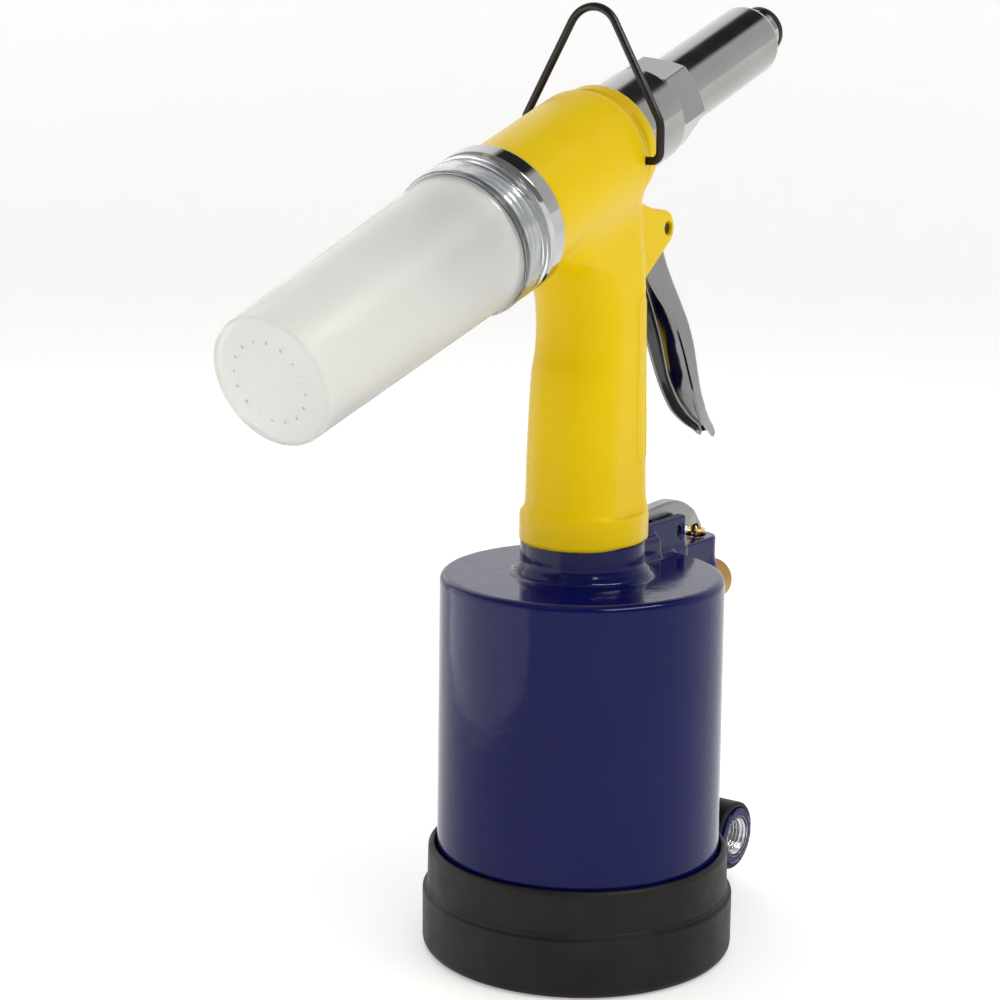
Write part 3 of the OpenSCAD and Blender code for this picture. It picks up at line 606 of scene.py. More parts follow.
over = softbox("overhead", (0, 2.1, 0), (3.0, 3.0), 19, target=(0, 0, 0))
over.visible_glossy = False
key = softbox("key", (1.0, 0.65, 0.55), (0.7, 1.1), 4.4, colour=(0.96, 1.0, 0.86))
key.visible_glossy = False
front = softbox("front", (0.42, 1.15, 0.85), (0.5, 0.4), 2.4)
front.visible_glossy = False
softbox("strip", (-0.9, 0.75, 0.35), (0.18, 1.0), 0.2, colour=(1.0, 0.72, 0.42))
softbox("rim", (-0.5, 0.75, -1.0), (0.5, 0.8), 0.8)
streak = softbox("streak", (0.66, 1.0, 0.51), (1.1, 0.24), 12.0)
streak.visible_diffuse = False
panel = softbox("panel", (-0.30, 0.0, 0.03), (0.56, 0.3), 0.60, target=(0, 0, 0.15))
panel.visible_diffuse = False
panel.visible_camera = False


def bowl():
    """A pale round floor that curves up into a low wall."""
    prof = [(0.0, 0.0), (0.6, 0.0), (1.7, 0.0)]
    bend = np.linspace(0.08, math.pi / 2, 20)
    prof += [(1.7 + 0.6 * math.sin(t), 0.6 - 0.6 * math.cos(t)) for t in bend]
    verts, faces = [(0, 0, 0)], []
    n = 160
    turn = [2 * math.pi * k / n for k in range(n)]
    for r, z in prof[1:]:
        verts += [(r * math.cos(t), r * math.sin(t), z) for t in turn]
    faces += [(0, 1 + k, 1 + (k + 1) % n) for k in range(n)]
    for i in range(len(prof) - 2):
        q = 1 + i * n
        faces += [(q + k, q + n + k, q + n + (k + 1) % n, q + (k + 1) % n) for k in range(n)]
    m = bpy.data.meshes.new("floor")
    m.from_pydata(verts, [], faces)
    m.polygons.foreach_set("use_smooth", [True] * len(m.polygons))
    m.materials.append(floor_mat.m)
    ob = bpy.data.objects.new("floor", m)
    bpy.context.scene.collection.objects.link(ob)


bowl()

world = bpy.data.worlds.new("studio")
bpy.context.scene.world = world
world.use_nodes = True
wt = world.node_tree
wt.nodes.clear()


def w_node(kind, *inputs, **attrs):
    """A node of the world, with values or sockets for its inputs in order. Gives its outputs."""
    n = wt.nodes.new(kind)
    for k, v in attrs.items():
        setattr(n, k, v)
    for socket, v in zip(n.inputs, inputs):
        if isinstance(v, bpy.types.NodeSocket):
            wt.links.new(v, socket)
        elif v is not None:
            socket.default_value = v
    return n.outputs


# light grey, dimmer and warmer on the left, dark behind the viewer, with a dark patch overhead
w_dir = w_node("ShaderNodeTexCoord")["Generated"]
w_right = w_node("ShaderNodeVectorMath", w_dir, tuple(RIGHT), operation="DOT_PRODUCT")["Value"]
w_far = w_node("ShaderNodeVectorMath", w_dir, tuple(FORWARD), operation="DOT_PRODUCT")["Value"]
w_over = w_node("ShaderNodeVectorMath", w_dir, (0.498, -0.02, 0.867), operation="DOT_PRODUCT")["Value"]
w_tint = [w_node("ShaderNodeMapRange", w_right, -0.75, -0.2, left, 0.92)["Result"]
          for left in (0.72, 0.65, 0.55)]
w_side = w_node("ShaderNodeCombineXYZ", *w_tint)["Vector"]
w_back = w_node("ShaderNodeMapRange", w_far, -0.5, 0.72, 0.27, 1.24)["Result"]
w_dark = w_node("ShaderNodeMapRange", w_over, 0.922, 0.960, 1.0, 0.04)["Result"]
w_pair = w_node("ShaderNodeMath", w_back, w_dark, operation="MULTIPLY")[0]
w_level = w_node("ShaderNodeVectorMath", w_side, None, None, w_pair, operation="SCALE")["Vector"]
w_out = wt.nodes.new("ShaderNodeOutputWorld")
w_bg = wt.nodes.new("ShaderNodeBackground")
wt.links.new(w_level, w_bg.inputs[0])
wt.links.new(w_bg.outputs[0], w_out.inputs[0])
bpy.context.scene.view_settings.view_transform = "Standard"

# ------------------------------ head casting


# the grip's back, as (height, x)
BACK_LINE = curve_through([(140, -20.9), (152, -20.9), (157, -20.2), (170, -20), (185, -19.3), (198, -18.3),
                           (204.5, -16.6), (210, -15.7), (216, -15.9), (223, -17.4), (229.5, -20.6),
                           (234, -25.5), (237, -33), (242, -34), (262, -34)], 4)
# one ear of the trigger's pin
EAR = [(10, 256), (16, 253.4), (24, 250.9), (30, 250.1), (33.8, 249.5), (36.2, 248.2), (37.6, 246.2),
       (38.1, 243.5), (37.7, 241.2), (36.2, 239.3), (32.6, 236.6), (28.2, 233.4), (22.8, 229.4), (14, 222)]


def rounded_rect(across, along, half_x, half_y, r):
    """Distance to a rectangle with corners of radius r, about the middle."""
    q1, q2 = np.abs(across) - (half_x - r), np.abs(along) - (half_y - r)
    outside = np.sqrt(np.maximum(q1, 0) ** 2 + np.maximum(q2, 0) ** 2)
    return np.minimum(np.maximum(q1, q2), 0) + outside - r


def casting_field(p):
    x, y, z = p
    s, n, r = barrel_coords(p)
    both = [x, np.abs(y), z]
    # grip
    xb = np.interp(z, BACK_LINE[:, 0], BACK_LINE[:, 1])
    xf = np.interp(z, [150, 157, 200, 228, 250], [20.6, 19.7, 18.6, 18.1, 16.6])
    hy = np.interp(z, [150, 158, 200, 228, 252], [17.2, 16.8, 16.3, 16.0, 14.8])
    cx, hx = (xb + xf) / 2, (xf - xb) / 2
    rr = np.where(x > cx, 10.5, np.minimum(15.0, hx * 0.85))
    rr = np.minimum(rr, hx * 0.9)
    handle = smax(rounded_rect(x - cx, y, hx, hy, rr), np.maximum(NECK_TOP - z, n + 6), 0.8)
    collar = cyl_z(p, 0, 0, 20.9, NECK_TOP, 152, 0.9)
    d = smin(handle, collar, 3.0)
    # barrel with a step and a groove at its front
    body = round_pair(r - 21.8, np.maximum(CASTING_BACK - s, s - 1.4), 2.6)
    step = round_pair(r - 19.8, np.maximum(CASTING_BACK - s, s - 10), 0.8)
    barrel = smin(body, step, 1.5)
    barrel = smax(barrel, -(np.sqrt((r - 20.1) ** 2 + (s - 4.6) ** 2) - 0.9), 0.5)
    d = smin(d, barrel, np.interp(x, [4, 14], [6.5, 3.0]))
    # ears, with room for the lever between them
    d = smin(d, plate_xz(both, EAR, 3.0, 10.2, 1.0), 3.2)
    d = smax(d, -box(p, (20.0, -6.45, 205), (45, 6.45, 250.6), 0.8), 0.8)
    d = smax(d, -box(p, (10.9, -3.1, 238), (45, 3.1, 253.5), 0.4), 0.4)
    # socket, bores and slots
    d = smax(d, -cyl_z(p, 0, 0, 11.84, 130, 156.3, 0.1), 0.3)
    d = smax(d, -cyl_z(p, 0, 0, 8, 150, 242, 0.1), 0.3)
    d = smax(d, -box(p, (10.8, -3.7, 130), (32, 3.7, 150.3), 0.3), 0.4)
    d = smax(d, -np.maximum(r - 14.5, np.maximum(-60 - s, s - 5)), 0.3)
    d = smax(d, -np.maximum(r - 16.03, s - CAP_FRONT), 0.3)
    d = smax(d, -np.maximum(r - 16.03, 4 - s), 0.3)
    d = smax(d, -cyl_z(p, ROD_X, 0, 1.75, 140, 243, 0.1), 0.2)
    px, pz = TRIGGER_PIN
    d = smax(d, -cyl_between(both, (px, 5, pz), (px, 14, pz), 2.25, 0.1), 0.3)
    # seat of the oil plug
    d = smax(d, -cyl_between(p, (0, 15.2, PLUG_Z), (0, 30, PLUG_Z), 7.5, 0.2), 0.5)
    # holes of the hook's feet, with a small countersink
    ex, ez = HOOK_EYE
    d = smax(d, -cyl_between(both, (ex, 16.9, ez), (ex, 30, ez), 1.75, 0.1), 0.5)
    # raised border on both sides of the grip
    border = rounded_rect(x - 9.8, z - 196, 3.2, 27.5, 3.6)
    rim = 0.42 * np.exp(-(border / 0.55) ** 2)
    return d - rim * (np.abs(y) > 14) * (z < 226)


casting = solid("casting_shell", casting_field, (-54, -23, 141), (40, 23, 294), MAT["yellow_paint"],
                "frame")
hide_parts("head_casting")

# ------------------------------ cylinder housing


def housing_field(p):
    x, y, z = p
    both = [x, np.abs(y), z]
    r = np.sqrt(x * x + y * y)
    # cylinder, a little narrower at its top
    rc = 48.3 - 0.6 * (z - 4) / 124
    d = round_pair(r - rc, np.maximum(4 - z, z - CYL_TOP), 2.5)
    neck = cyl_z(p, 0, 0, 20.9, 100, NECK_TOP, 0.5)
    neck_foot = cyl_z(p, 0.5, 0, 22.2, 100, 133.2, 1.2)
    d = smin(d, smin(neck, neck_foot, 2.5), 3.2)
    # saddle and ears of the rocker
    saddle = box(p, (8, -10.5, 120), (35, 10.5, 138.5), 2.2)
    d = smin(d, saddle, 2.6)
    ear = [(20, 120), (20, 141.8), (54.6, 141.8), (55.6, 141.2), (55.6, 120)]
    d = smin(d, plate_xz(both, ear, 0, 7.2, 0.5), 2.2)
    # valve body, and the passage down to the inlet
    tongue = np.minimum(cyl_z(p, VALVE_X, 0, 7.2, 98, CYL_TOP - 0.2, 0.8),
                        box(p, (30, -7.2, 98), (VALVE_X, 7.2, CYL_TOP - 0.2), 0.8))
    column = smin(cyl_z(p, VALVE_X, 0, 7.2, 8.4, 120, 0.8),
                  box(p, (40, -4.5, 8.4), (VALVE_X, 4.5, 104), 0.8), 1.5)
    d = smin(d, smin(tongue, column, 3), 2.2)
    seat = cyl_between(p, (VALVE_X, 0, SILENCER_Z), (VALVE_X + 7.6, 0, SILENCER_Z), 7.5, 0.6)
    d = smin(d, seat, 1.0)
    boss = cyl_between(p, (VALVE_X, 0, INLET_Z), (VALVE_X, -20.8, INLET_Z), 10.3, 0.5)
    d = smin(d, boss, 2.0)
    # hollows
    d = smax(d, -cyl_z(p, 0, 0, CYL_BORE, -5, 120, 0.1), 0.3)
    d = smax(d, -cyl_z(p, 0, 0, 9.64, 115, 150, 0.1), 0.3)
    d = smax(d, -box(p, (12, -3.7, 137.4), (80, 3.7, 160), 0.3), 0.6)
    well = np.minimum(cyl_z(p, VALVE_X, 0, 5, 93.8, 128.1, 0.1),
                      cyl_z(p, VALVE_X, 0, 3.62, 120, 150, 0.1))
    d = smax(d, -well, 0.3)
    px, pz = ROCKER_PIN
    d = smax(d, -cyl_between(both, (px, 6.7, pz), (px, 12, pz), 2.6, 0.2), 0.6)
    d = smax(d, -cyl_between(p, (px, -20, pz), (px, 20, pz), 1.85, 0.1), 0.2)
    bore = cyl_between(p, (VALVE_X, -6.8, INLET_Z), (VALVE_X, -30, INLET_Z), 6.6, 0.1)
    port = cyl_between(p, (VALVE_X + 5.6, 0, SILENCER_Z), (VALVE_X + 20, 0, SILENCER_Z), 4.5, 0.1)
    return smax(smax(d, -bore, 0.2), -port, 0.2)


housing = solid("housing_shell", housing_field, (-49, -49, 3), (84, 49, 143), MAT["indigo_paint"],
                "frame", step=STEP * 1.1)
SPIGOT = rounded([(9.7, 141), (11.8, 141), (11.8, 147), (10.3, 147), (10.3, 150), (11.8, 150),
                  (11.8, 156, 0.5), (9.7, 156), (9.7, 141)])
lathe("housing_spigot", SPIGOT, MAT["machined_aluminium"], "frame", slot="machined_aluminium", segs=96)
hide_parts("cylinder_housing")

# ------------------------------ boot

BOOT = rounded([(0, 0), (53, 0, 3.2), (53, 20.2, 0.9), (51.9, 20.6, 0.4), (51.75, 21.5, 0.3),
                (51.35, 22.0, 0.3), (51.1, 35.0, 1.3), (50.2, 36.2, 1.0), (49.0, 36.2, 0.6),
                (48.62, 35.0, 0.5), (48.6, 4.4), (0, 4.4)], 5)
boot = lathe("boot_shell", BOOT, MAT["boot_rubber"], "frame", slot="boot_rubber", segs=256)


def lobe_field(p):
    x, y, z = p
    # the lobe's front half stands higher
    col = cyl_z(p, VALVE_X, 0, 10.2, 6, 36.2, 1.2)
    tab = smax(cyl_z(p, VALVE_X, 0, 10.2, 6, 42.2, 1.2), VALVE_X - x, 0.8)
    neck = box(p, (44, -10.2, 6), (VALVE_X, 10.2, 36.2), 1.2)
    d = smin(smin(col, neck, 0.6), tab, 0.6)
    sleeve = cyl_between(p, (VALVE_X, 0, INLET_Z), (VALVE_X, -20.0, INLET_Z), 12.4, 0.9)
    d = smin(d, sleeve, 1.6)
    # the foot of the casting lies inside
    foot = cyl_z(p, VALVE_X, 0, 7.4, 8.2, 60, 0.6)
    web = box(p, (40, -4.7, 8.2), (VALVE_X, 4.7, 60), 0.4)
    boss = cyl_between(p, (VALVE_X, 0, INLET_Z), (VALVE_X, -24, INLET_Z), 10.45, 0.4)
    hole = np.minimum(np.minimum(foot, web), boss)
    r = np.sqrt(x * x + y * y)
    return smax(d, -np.minimum(hole, r - 49.5), 0.4)


solid("boot_lobe", lobe_field, (44, -21, 5), (86, 11, 43), MAT["boot_rubber"], "frame",
      step=STEP * 0.8)
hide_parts("rubber_boot")

# ------------------------------ inlet thread

PITCH = 1.337
THREAD_FLOOR = 6.5
THREAD_DEPTH = 0.82
THREAD_MOUTH = 6.56
THREAD_OUTSIDE = 6.585


def inlet_thread():
    """Female thread: a ring with a helical ridge inside."""
    n, per = 96, 12
    y0, y1 = -20.6, -7.2
    rows = int((y1 - y0) / PITCH * per)
    verts = []
    for i in range(rows + 1):
        y = y0 + (y1 - y0) * i / rows
        for k in range(n):
            t = 2 * math.pi * k / n
            ph = ((y - y0) / PITCH + k / n) % 1.0
            tooth = 1 - abs(2 * ph - 1)
            tooth = min(1.0, max(0.0, (tooth - 0.12) / 0.76))
            r = THREAD_FLOOR - THREAD_DEPTH * tooth
            lead = max(0.0, 1 - (y - y0) / 1.5)
            r = r + (THREAD_MOUTH - r) * lead
            verts.append((VALVE_X + r * math.cos(t), y, INLET_Z + r * math.sin(t)))
    base = len(verts)
    for y in (y0, y1):
        for k in range(n):
            t = 2 * math.pi * k / n
            verts.append((VALVE_X + THREAD_OUTSIDE * math.cos(t), y, INLET_Z + THREAD_OUTSIDE * math.sin(t)))
    faces = ring_faces(rows + 1, n)
    for k in range(n):
        j = (k + 1) % n
        faces.append((k, base + k, base + j, j))
        faces.append((rows * n + j, base + n + j, base + n + k, rows * n + k))
        faces.append((base + k, base + n + k, base + n + j, base + j))
    make_mesh("inlet_thread", verts, faces, MAT["bare_thread"], "frame")


inlet_thread()
lathe("inlet_chamfer", [(6.57, 0.9), (7.5, 0.0), (7.5, 0.06), (6.6, 0.96), (6.57, 0.9)], MAT["bare_thread"],
      "frame", origin=(VALVE_X, -20.86, INLET_Z), axis=(0, 1, 0), ref=(1, 0, 0), segs=96,
      slot="machined_aluminium")
lathe("inlet_floor", [(0, 0), (2.7, 0.8), (6.5, 0.8), (6.5, 1.6), (0, 1.6)], MAT["machined_aluminium"],
      "frame", origin=(VALVE_X, -7.4, INLET_Z), axis=(0, 1, 0), ref=(1, 0, 0), segs=64,
      slot="machined_aluminium")

# ------------------------------ folded sheet parts


def folded(name, front, back, widths, thick, corner, material, body, rows, crown=0.0):
    """A strip of sheet folded to a U.

    front is the line of its closed side and back that of its free edges, both in the XZ plane.
    widths gives the half width at a point of front.
    """
    cols = 9
    f = resample(curve_through(front, 8), rows)
    b = resample(curve_through(back, 8), rows)
    bend = np.linspace(0, math.pi / 2, 6)[1:]
    sheets = []
    for i in range(rows):
        w = widths(f[i])
        d = b[i] - f[i]
        depth = np.linalg.norm(d)
        d = d / max(depth, 1e-6)
        rc = min(corner, w * 0.7, depth * 0.45)
        sec = [(depth + (rc - depth) * k / cols, -w) for k in range(cols + 1)]
        sec += [(rc - rc * math.sin(a), -w + rc - rc * math.cos(a)) for a in bend]
        inner = w - rc
        sec += [(-crown * (1 - (y / inner) ** 2), y) for y in np.linspace(-inner, inner, 7)[1:]]
        sec += [(rc - rc * math.cos(a), inner + rc * math.sin(a)) for a in bend]
        sec += [(rc + (depth - rc) * k / cols, w) for k in range(1, cols + 1)]
        sec = np.array(sec)
        tan = np.gradient(sec, axis=0)
        nrm = np.stack([-tan[:, 1], tan[:, 0]], 1)
        nrm = nrm / np.maximum(np.linalg.norm(nrm, axis=1, keepdims=True), 1e-9)
        # the normal points out of the channel: away from its middle
        mid = np.array([depth * 0.6, 0])
        flip = np.sign(((sec - mid) * nrm).sum(1).sum())
        nrm = nrm * flip
        ins = sec - nrm * thick
        ins[:, 0] = np.minimum(ins[:, 0], depth)
        for q in (sec, ins):
            sheets.append([np.array([f[i][0] + d[0] * u, y, f[i][1] + d[1] * u]) for u, y in q])
    m = len(sheets[0])
    verts = [v for row in sheets for v in row]

    def idx(i, layer, k):
        return (2 * i + layer) * m + k

    faces = []
    for i in range(rows - 1):
        for k in range(m - 1):
            faces.append((idx(i, 0, k), idx(i + 1, 0, k), idx(i + 1, 0, k + 1), idx(i, 0, k + 1)))
            faces.append((idx(i, 1, k + 1), idx(i + 1, 1, k + 1), idx(i + 1, 1, k), idx(i, 1, k)))
        for k in (0, m - 1):
            faces.append((idx(i, 0, k), idx(i, 1, k), idx(i + 1, 1, k), idx(i + 1, 0, k)))
    for i in (0, rows - 1):
        for k in range(m - 1):
            faces.append((idx(i, 0, k), idx(i, 0, k + 1), idx(i, 1, k + 1), idx(i, 1, k)))
    ob = make_mesh(name, verts, faces, material, body)
    bev = ob.modifiers.new("edge", "BEVEL")
    bev.width = 0.3 * MM * thick
    bev.segments = 3
    bev.limit_method = "ANGLE"
    bev.angle_limit = math.radians(50)
    bev.harden_normals = True
    return ob


def trigger_width(point):
    return float(np.interp(point[1], [160, 170, 175, 180, 190, 200, 210, 219, 230, 260],
                           [2, 3.6, 5.1, 6.2, 7.2, 7.5, 7.5, 7.0, 6.3, 6.3]))


SHEET = 1.05
TRIGGER_FRONT = [(33.0, 247.9), (36.4, 247.2), (38.3, 244.6), (38.4, 241), (38.9, 236.5), (44.4, 226.6),
                 (50.4, 217.4), (55, 210.2), (58.8, 202.9), (61.6, 195.6), (64.5, 188.2), (69, 181),
                 (75.0, 174.3), (80.4, 170.0), (82.0, 167.6)]
TRIGGER_BACK = [(32.6, 247.8), (30.6, 246.6), (29.5, 244.6), (29.4, 242), (28.0, 236), (27.6, 229.2),
                (32.4, 222.6), (39.2, 215.8), (45.4, 209.4), (50.8, 200.4), (55.6, 191.2), (61, 181.8),
                (66, 175.4), (72, 170.6), (76.5, 168.0), (79.2, 166.2), (80.6, 165.4)]
trig = folded("trigger_blade", TRIGGER_FRONT, TRIGGER_BACK, trigger_width, SHEET, 2.6, MAT["polished_steel"],
              "trigger", rows=110, crown=0.5)
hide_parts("trigger")


def trigger_tab_field(p):
    px, pz = TRIGGER_PIN
    tab = [(11.9, 241.4), (11.9, 244.3), (30, 246.4), (36, 246.4), (37.4, 243.5), (36, 239.7), (29, 239.3)]
    d = plate_xz(p, tab, -2.6, 2.6, 0.4)
    d = smin(d, cyl_between(p, (px, -6.2, pz), (px, 6.2, pz), 3.3, 0.2), 0.4)
    d = smax(d, -box(p, (8, -1.7, 236), (16.8, 1.7, 250), 0.1), 0.2)
    return smax(d, -cyl_between(p, (px, -9, pz), (px, 9, pz), 2.05, 0.05), 0.1)


solid("trigger_tab", trigger_tab_field, (11, -7, 238), (39, 7, 248), MAT["satin_steel"], "trigger",
      step=0.5)


def rocker_width(point):
    return float(np.interp(point[0], [0, 69, 74, 80], [3.0, 3.0, 1.9, 1.6]))


ROCKER_TOP = [(12.5, 144.7), (22, 144.9), (30, 145.1), (40, 145.6), (50, 146.2), (56, 146.1), (60, 145.2),
              (64, 143.6), (67.5, 141.7), (71.5, 139), (75.2, 135.4), (76.5, 133.2), (76.55, 132.68)]
ROCKER_LOW = [(12.6, 141.6), (22, 141.75), (30, 141.85), (40, 142.0), (46, 140.6), (49.2, 137.2),
              (52, 133.6), (54.8, 135.6), (58, 136.6), (62, 135.9), (66, 135.0), (69.5, 134.9),
              (72.4, 135.0), (73.7, 134.0), (74.1, 132.68)]
rocker = folded("rocker_arm", ROCKER_TOP, ROCKER_LOW, rocker_width, SHEET, 1.1, MAT["satin_steel"],
                "rocker", rows=120)
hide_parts("rocker_lever")

# ------------------------------ pins

for pin_node, at, radius, half, edge in (("trigger_pin", TRIGGER_PIN, 2, 9.3, 0.5),
                                         ("rocker_pin", ROCKER_PIN, 1.75, 5.9, 0.3)):
    pin = lathe(pin_node + "_body",
                rounded([(0, -half), (radius, -half, edge), (radius, half, edge), (0, half)], 3),
                MAT["black_steel"], "frame", origin=(at[0], 0, at[1]), axis=(0, 1, 0), ref=(1, 0, 0),
                segs=48, slot="black_steel")
    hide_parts(pin_node)

# ------------------------------ springs


def coil(name, radius, wire, z0, z1, turns, origin, axis, ref):
    """A round-wire spring seated on the frame."""
    o, ax, u = (np.array(v, float) for v in (origin, axis, ref))
    w = np.cross(ax, u)
    steps, sides = 32 * turns, 12
    rise = (z1 - z0 - 2 * wire) / steps
    verts = []
    for i in range(steps + 1):
        t = 2 * math.pi * i / 32
        for k in range(sides):
            q = 2 * math.pi * k / sides
            r = radius + wire * math.cos(q)
            z = z0 + wire + wire * math.sin(q) + rise * i
            verts.append(o + ax * z + u * r * math.cos(t) + w * r * math.sin(t))
    faces = wire_faces(steps + 1, sides)
    ob = make_mesh(name, verts, faces, MAT["satin_steel"], "frame")
    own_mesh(ob)
    return ob


ret = coil("return_spring_wire", 10.6, 1.0, -41.9, -12.1, 5, BARREL_O, AX, UP)
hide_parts("return_spring")
val = coil("valve_spring_wire", 3.2, 0.35, 94.05, 102.9, 4, (VALVE_X, 0, 0), (0, 0, 1), (1, 0, 0))
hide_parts("valve_spring")

# ------------------------------ hook


def sweep(name, path, radius, material, body, sides=20, slot=None):
    """A round wire along a path."""
    path = np.array(path, float)
    tan = np.gradient(path, axis=0)
    tan = tan / np.linalg.norm(tan, axis=1, keepdims=True)
    ref = np.array([1.0, 0, 0])
    verts = []
    for c, d in zip(path, tan):
        u = np.cross(d, ref)
        u = u / np.linalg.norm(u)
        v = np.cross(d, u)
        for k in range(sides):
            t = 2 * math.pi * k / sides
            verts.append(c + radius * (u * math.cos(t) + v * math.sin(t)))
    ob = make_mesh(name, verts, wire_faces(len(path), sides), material, body)
    sharpen(ob, 50)
    return ob


def hook_path():
    """The hook's wire, from one foot over its round top to the other, as (x, y, z)."""
    side_y, side_z = 25.45, 13.0
    top_y, top_z = 8.23, 43.25
    half = [(17.15, 0.0), (19.5, 0.0), (21.5, 0.0)]
    half += [(23 + 3.0 * math.sin(t), 3 - 3.0 * math.cos(t)) for t in np.linspace(0.1, math.pi / 2, 10)]
    half += [(26, 6.5), (26, 9.0), (25.9, 11.0), (side_y, side_z)]
    half += [(side_y + (top_y - side_y) * k / 8, side_z + (top_z - side_z) * k / 8) for k in range(1, 8)]
    bend = np.linspace(math.radians(30), math.pi / 2, 12)
    half += [(9.5 * math.cos(t), 38.5 + 9.5 * math.sin(t)) for t in bend]
    full = half + [(-y, z) for y, z in half[-2::-1]]
    return [(HOOK_EYE[0], y, HOOK_EYE[1] + z) for y, z in full]


hook = sweep("hook_wire", hook_path(), 1.35, MAT["black_steel"], "hook", slot="black_steel")
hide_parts("hook_bail")

# ------------------------------ rear cap, bottle

cap = barrel_lathe("rear_cap_body", rounded(
    [(5.1, -42.1), (15.9, -42.1, 0.4), (15.9, -52.9), (23.4, -52.9, 0.3), (24.15, -54.2, 0.5),
     (24.15, -59.6, 0.5), (23.2, -61.0, 0.4), (21.2, -61.1), (21.2, -71.35, 0.2), (20.5, -71.4),
     (20.5, -74.2), (21.2, -74.25, 0.2), (21.2, -75.9, 0.6), (17.5, -75.9, 0.3), (17.5, -64), (8, -64),
     (8, -75.9, 0.3), (5.1, -75.9), (5.1, -42.1)], 4),
    MAT["bright_chrome"], "frame", slot="bright_chrome", segs=192)
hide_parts("rear_cap")

BOTTLE = rounded([(0, BOTTLE_END), (20.0, BOTTLE_END, 1.3), (22.6, -76.0, 1.5), (23.15, -75.2, 0.5),
                  (23.9, -74.9, 0.5), (23.98, -67), (23.7, -66.7, 0.1), (23.7, -66.2, 0.1), (24.0, -65.8),
                  (24.0, -64.6), (23.75, -64.3, 0.1), (23.75, -63.8, 0.1), (24.0, -63.4),
                  (24.0, -61.6, 0.35), (23.06, -61.6, 0.2), (23.06, -74.2, 0.4), (21.6, -76.4, 0.8),
                  (19.25, -166.5, 1.2), (17.8, -168.4, 1.0), (0, -168.4)], 5)
bottle = barrel_lathe("bottle_shell", BOTTLE, MAT["milky_plastic"], "bottle", slot="milky_plastic", segs=192)

# shallow vents in a ring on the bottle's end
VENTS = 16
cutter_me = bpy.data.meshes.new("vents")
bm = bmesh.new()
along = Vector(AX).to_track_quat("Z", "Y").to_matrix().to_4x4()
for i in range(VENTS):
    t = 2 * math.pi * (i + 0.5) / VENTS
    c = BARREL_O + AX * BOTTLE_END + 12.3 * (UP * math.cos(t) + SIDE * math.sin(t))
    bmesh.ops.create_cone(bm, segments=20, radius1=0.5 * MM, radius2=0.5 * MM, depth=1.4 * MM,
                          cap_ends=True, matrix=Matrix.Translation(Vector(c) * MM) @ along)
bm.to_mesh(cutter_me)
bm.free()
cutter = bpy.data.objects.new("vents", cutter_me)
bpy.context.scene.collection.objects.link(cutter)
bottle.modifiers.clear()
cut = bottle.modifiers.new("vents", "BOOLEAN")
cut.operation = "DIFFERENCE"
cut.solver = "EXACT"
cut.object = cutter
dg = bpy.context.evaluated_depsgraph_get()
cut_mesh = bpy.data.meshes.new_from_object(bottle.evaluated_get(dg))
bottle.modifiers.clear()
bottle.data = cut_mesh
bpy.data.objects.remove(cutter)
bottle.data.materials.append(MAT["clear_rim"])
# the bottle's rim is clearer than its wall
for face in bottle.data.polygons:
    if (np.array(face.center) * 1000 - BARREL_O) @ AX > -75.4:
        face.material_index = 1
sharpen(bottle, 38)
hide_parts("collection_bottle")

RING = [(22.0 + 1.04 * math.cos(t), -73.0 + 1.1 * math.sin(t)) for t in np.linspace(0, 2 * math.pi, 25)]
seal = barrel_lathe("cap_seal", RING, MAT["seal_rubber"], "frame", slot="seal_rubber", segs=128)
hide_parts("collector_oring")

# ------------------------------ nose


def nose_shell(name, radius, rows, bore, material, body):
    """A turned part whose outline also depends on the angle, radius(angle, s)."""
    segs = 360
    verts = []
    for s in rows:
        for k in range(segs):
            t = 2 * math.pi * k / segs
            r = radius(t, s)
            verts.append(BARREL_O + AX * s + r * (UP * math.cos(t) + SIDE * math.sin(t)))
    n = len(rows)
    faces = ring_faces(n, segs)
    for s in (rows[-1], rows[0]):
        for k in range(segs):
            t = 2 * math.pi * k / segs
            verts.append(BARREL_O + AX * s + bore * (UP * math.cos(t) + SIDE * math.sin(t)))
    a, b, c, d = 0, (n - 1) * segs, n * segs, (n + 1) * segs
    for k in range(segs):
        j = (k + 1) % segs
        faces.append((b + k, b + j, c + j, c + k))
        faces.append((d + k, d + j, a + j, a + k))
        faces.append((c + k, c + j, d + j, d + k))
    ob = make_mesh(name, verts, faces, material, body)
    sharpen(ob, 40)


HEX_FRONT = 49.6
HEX_TURN = math.radians(11)
HEX_FLAT = 14.0
HEX_TIP = 16.12


def hex_radius(t, s):
    """Radius of the hexagon at an angle, with its tips chamfered at both ends."""
    a = (t + HEX_TURN + math.pi / 6) % (math.pi / 3) - math.pi / 6
    k = 0.25
    v = min(HEX_FLAT / math.cos(a), HEX_TIP)
    for c in (13.4 + 1.9 * (HEX_FRONT - s), 14.9 + 1.9 * (s - 34.5)):
        e = max(0.0, min(1.0, 0.5 + 0.5 * (c - v) / k))
        v = c * (1 - e) + v * e - k * e * (1 - e)
    return v


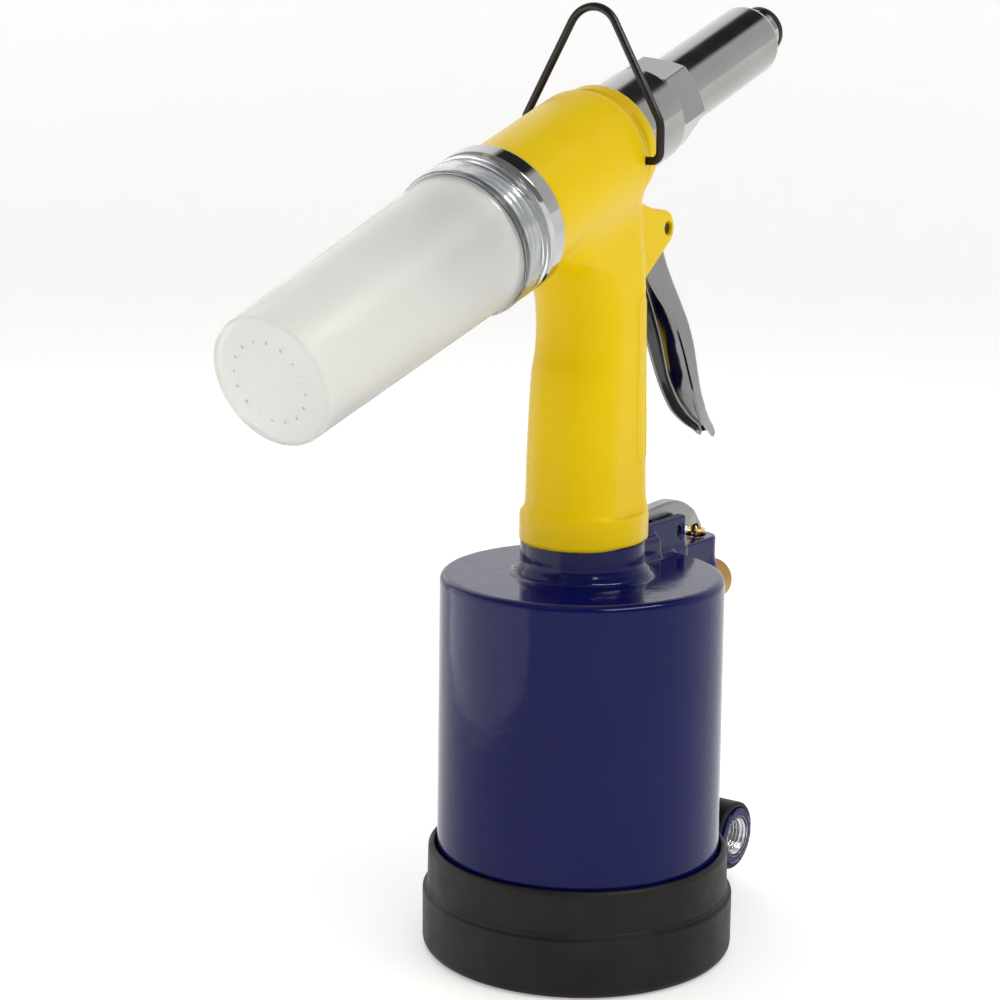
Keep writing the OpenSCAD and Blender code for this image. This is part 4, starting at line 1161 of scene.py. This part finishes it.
HEX_ROWS = [*np.linspace(34.4, 36.2, 10), 38, 41, 44, 46.5, *np.linspace(47.6, HEX_FRONT, 12)]
# the hexagon, head body and tube take the darker copy of chrome, which paints shade into their reflections
nose_shell("head_hexagon", hex_radius, HEX_ROWS, 12.1, MAT["shaded_nose_chrome"], "frame")
head = barrel_lathe("head_body", rounded(
    [(6.6, 4.2), (15.9, 4.2, 0.3), (15.9, 9.9), (15.6, 9.95), (16.5, 10.7, 0.2), (16.5, 33.4, 0.5),
     (15.6, 34.45, 0.4), (12.2, 34.5), (12.2, 36.2), (6.6, 36.2), (6.6, 4.2)], 4),
    MAT["shaded_nose_chrome"], "frame", slot="bright_chrome", segs=192)
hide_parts("frame_head")
tube = barrel_lathe("nose_tube", rounded(
    [(10.9, 38.2), (11.9, 38.2, 0.3), (11.9, 49.5), (12.5, 49.7, 0.25), (12.5, 110.0, 5.2), (5.02, 110.0),
     (5.02, 104.6), (10.9, 104.5), (10.9, 38.2)], 8),
    MAT["shaded_nose_chrome"], "frame", slot="bright_chrome", segs=192)
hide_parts("nose_housing")
tip = barrel_lathe("nosepiece_collar", rounded(
    [(1.65, 99.3), (3.55, 99.3, 0.3), (3.6, 104.4), (4.95, 104.6), (4.95, 110.1), (7.0, 110.15, 0.2),
     (8.2, 116.6), (3.0, 116.6), (1.65, 116.6), (1.65, 99.3)], 3), MAT["bright_chrome"], "frame",
    slot="satin_steel", segs=128)
barrel_lathe("nosepiece_rim", rounded(
    [(1.66, 116.6), (8.3, 116.6), (8.55, 116.8, 0.15), (8.55, 118.7, 0.5), (7.8, 119.45, 0.4),
     (3.2, 119.45, 0.5), (2.2, 118.2, 0.3), (1.66, 118.0), (1.66, 116.6)], 4),
    MAT["black_steel"], "frame", slot="black_steel", segs=128)
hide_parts("nosepiece")

# ------------------------------ silencer and valve stem

sil = lathe("silencer_body", rounded(
    [(0, 0), (2.6, -2.2), (4.4, -2.2), (4.4, 0), (7.45, 0.0, 0.3), (7.45, 8.5, 3.2), (2.2, 8.5, 0.4),
     (1.6, 7.9, 0.3), (0, 7.7)], 6), MAT["sintered_bronze"], "frame",
    origin=(82.6, 0, SILENCER_Z), axis=(1, 0, 0), ref=(0, 1, 0), segs=96, slot="sintered_bronze")
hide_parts("silencer")

stem = lathe("valve_stem_body", rounded(
    [(0, 102.98), (4.2, 102.98, 0.3), (4.2, 106, 0.3), (1.78, 106, 0.2), (1.78, 131.45, 0.1),
     (3.4, 131.45, 0.25), (3.4, 132.62, 0.25), (0, 132.62)], 3),
    MAT["valve_brass"], "valve", origin=(VALVE_X, 0, 0), segs=64, slot="valve_brass")


def stem_head_field(p):
    """The slanted cone that the rocker pushes."""
    x, y, z = p
    r = np.sqrt((x - VALVE_X) ** 2 + y * y)
    cone = np.maximum((r - (3.3 - 0.5 * (z - 132.5))) * 0.89, np.maximum(z - 135.2, 132.3 - z))
    return smax(cone, x - VALVE_X + 2.0, 0.15)


solid("valve_stem_head", stem_head_field, (71, -4, 132), (73.5, 4, 135.6), MAT["valve_brass"], "valve",
      step=0.25)
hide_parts("valve_stem")
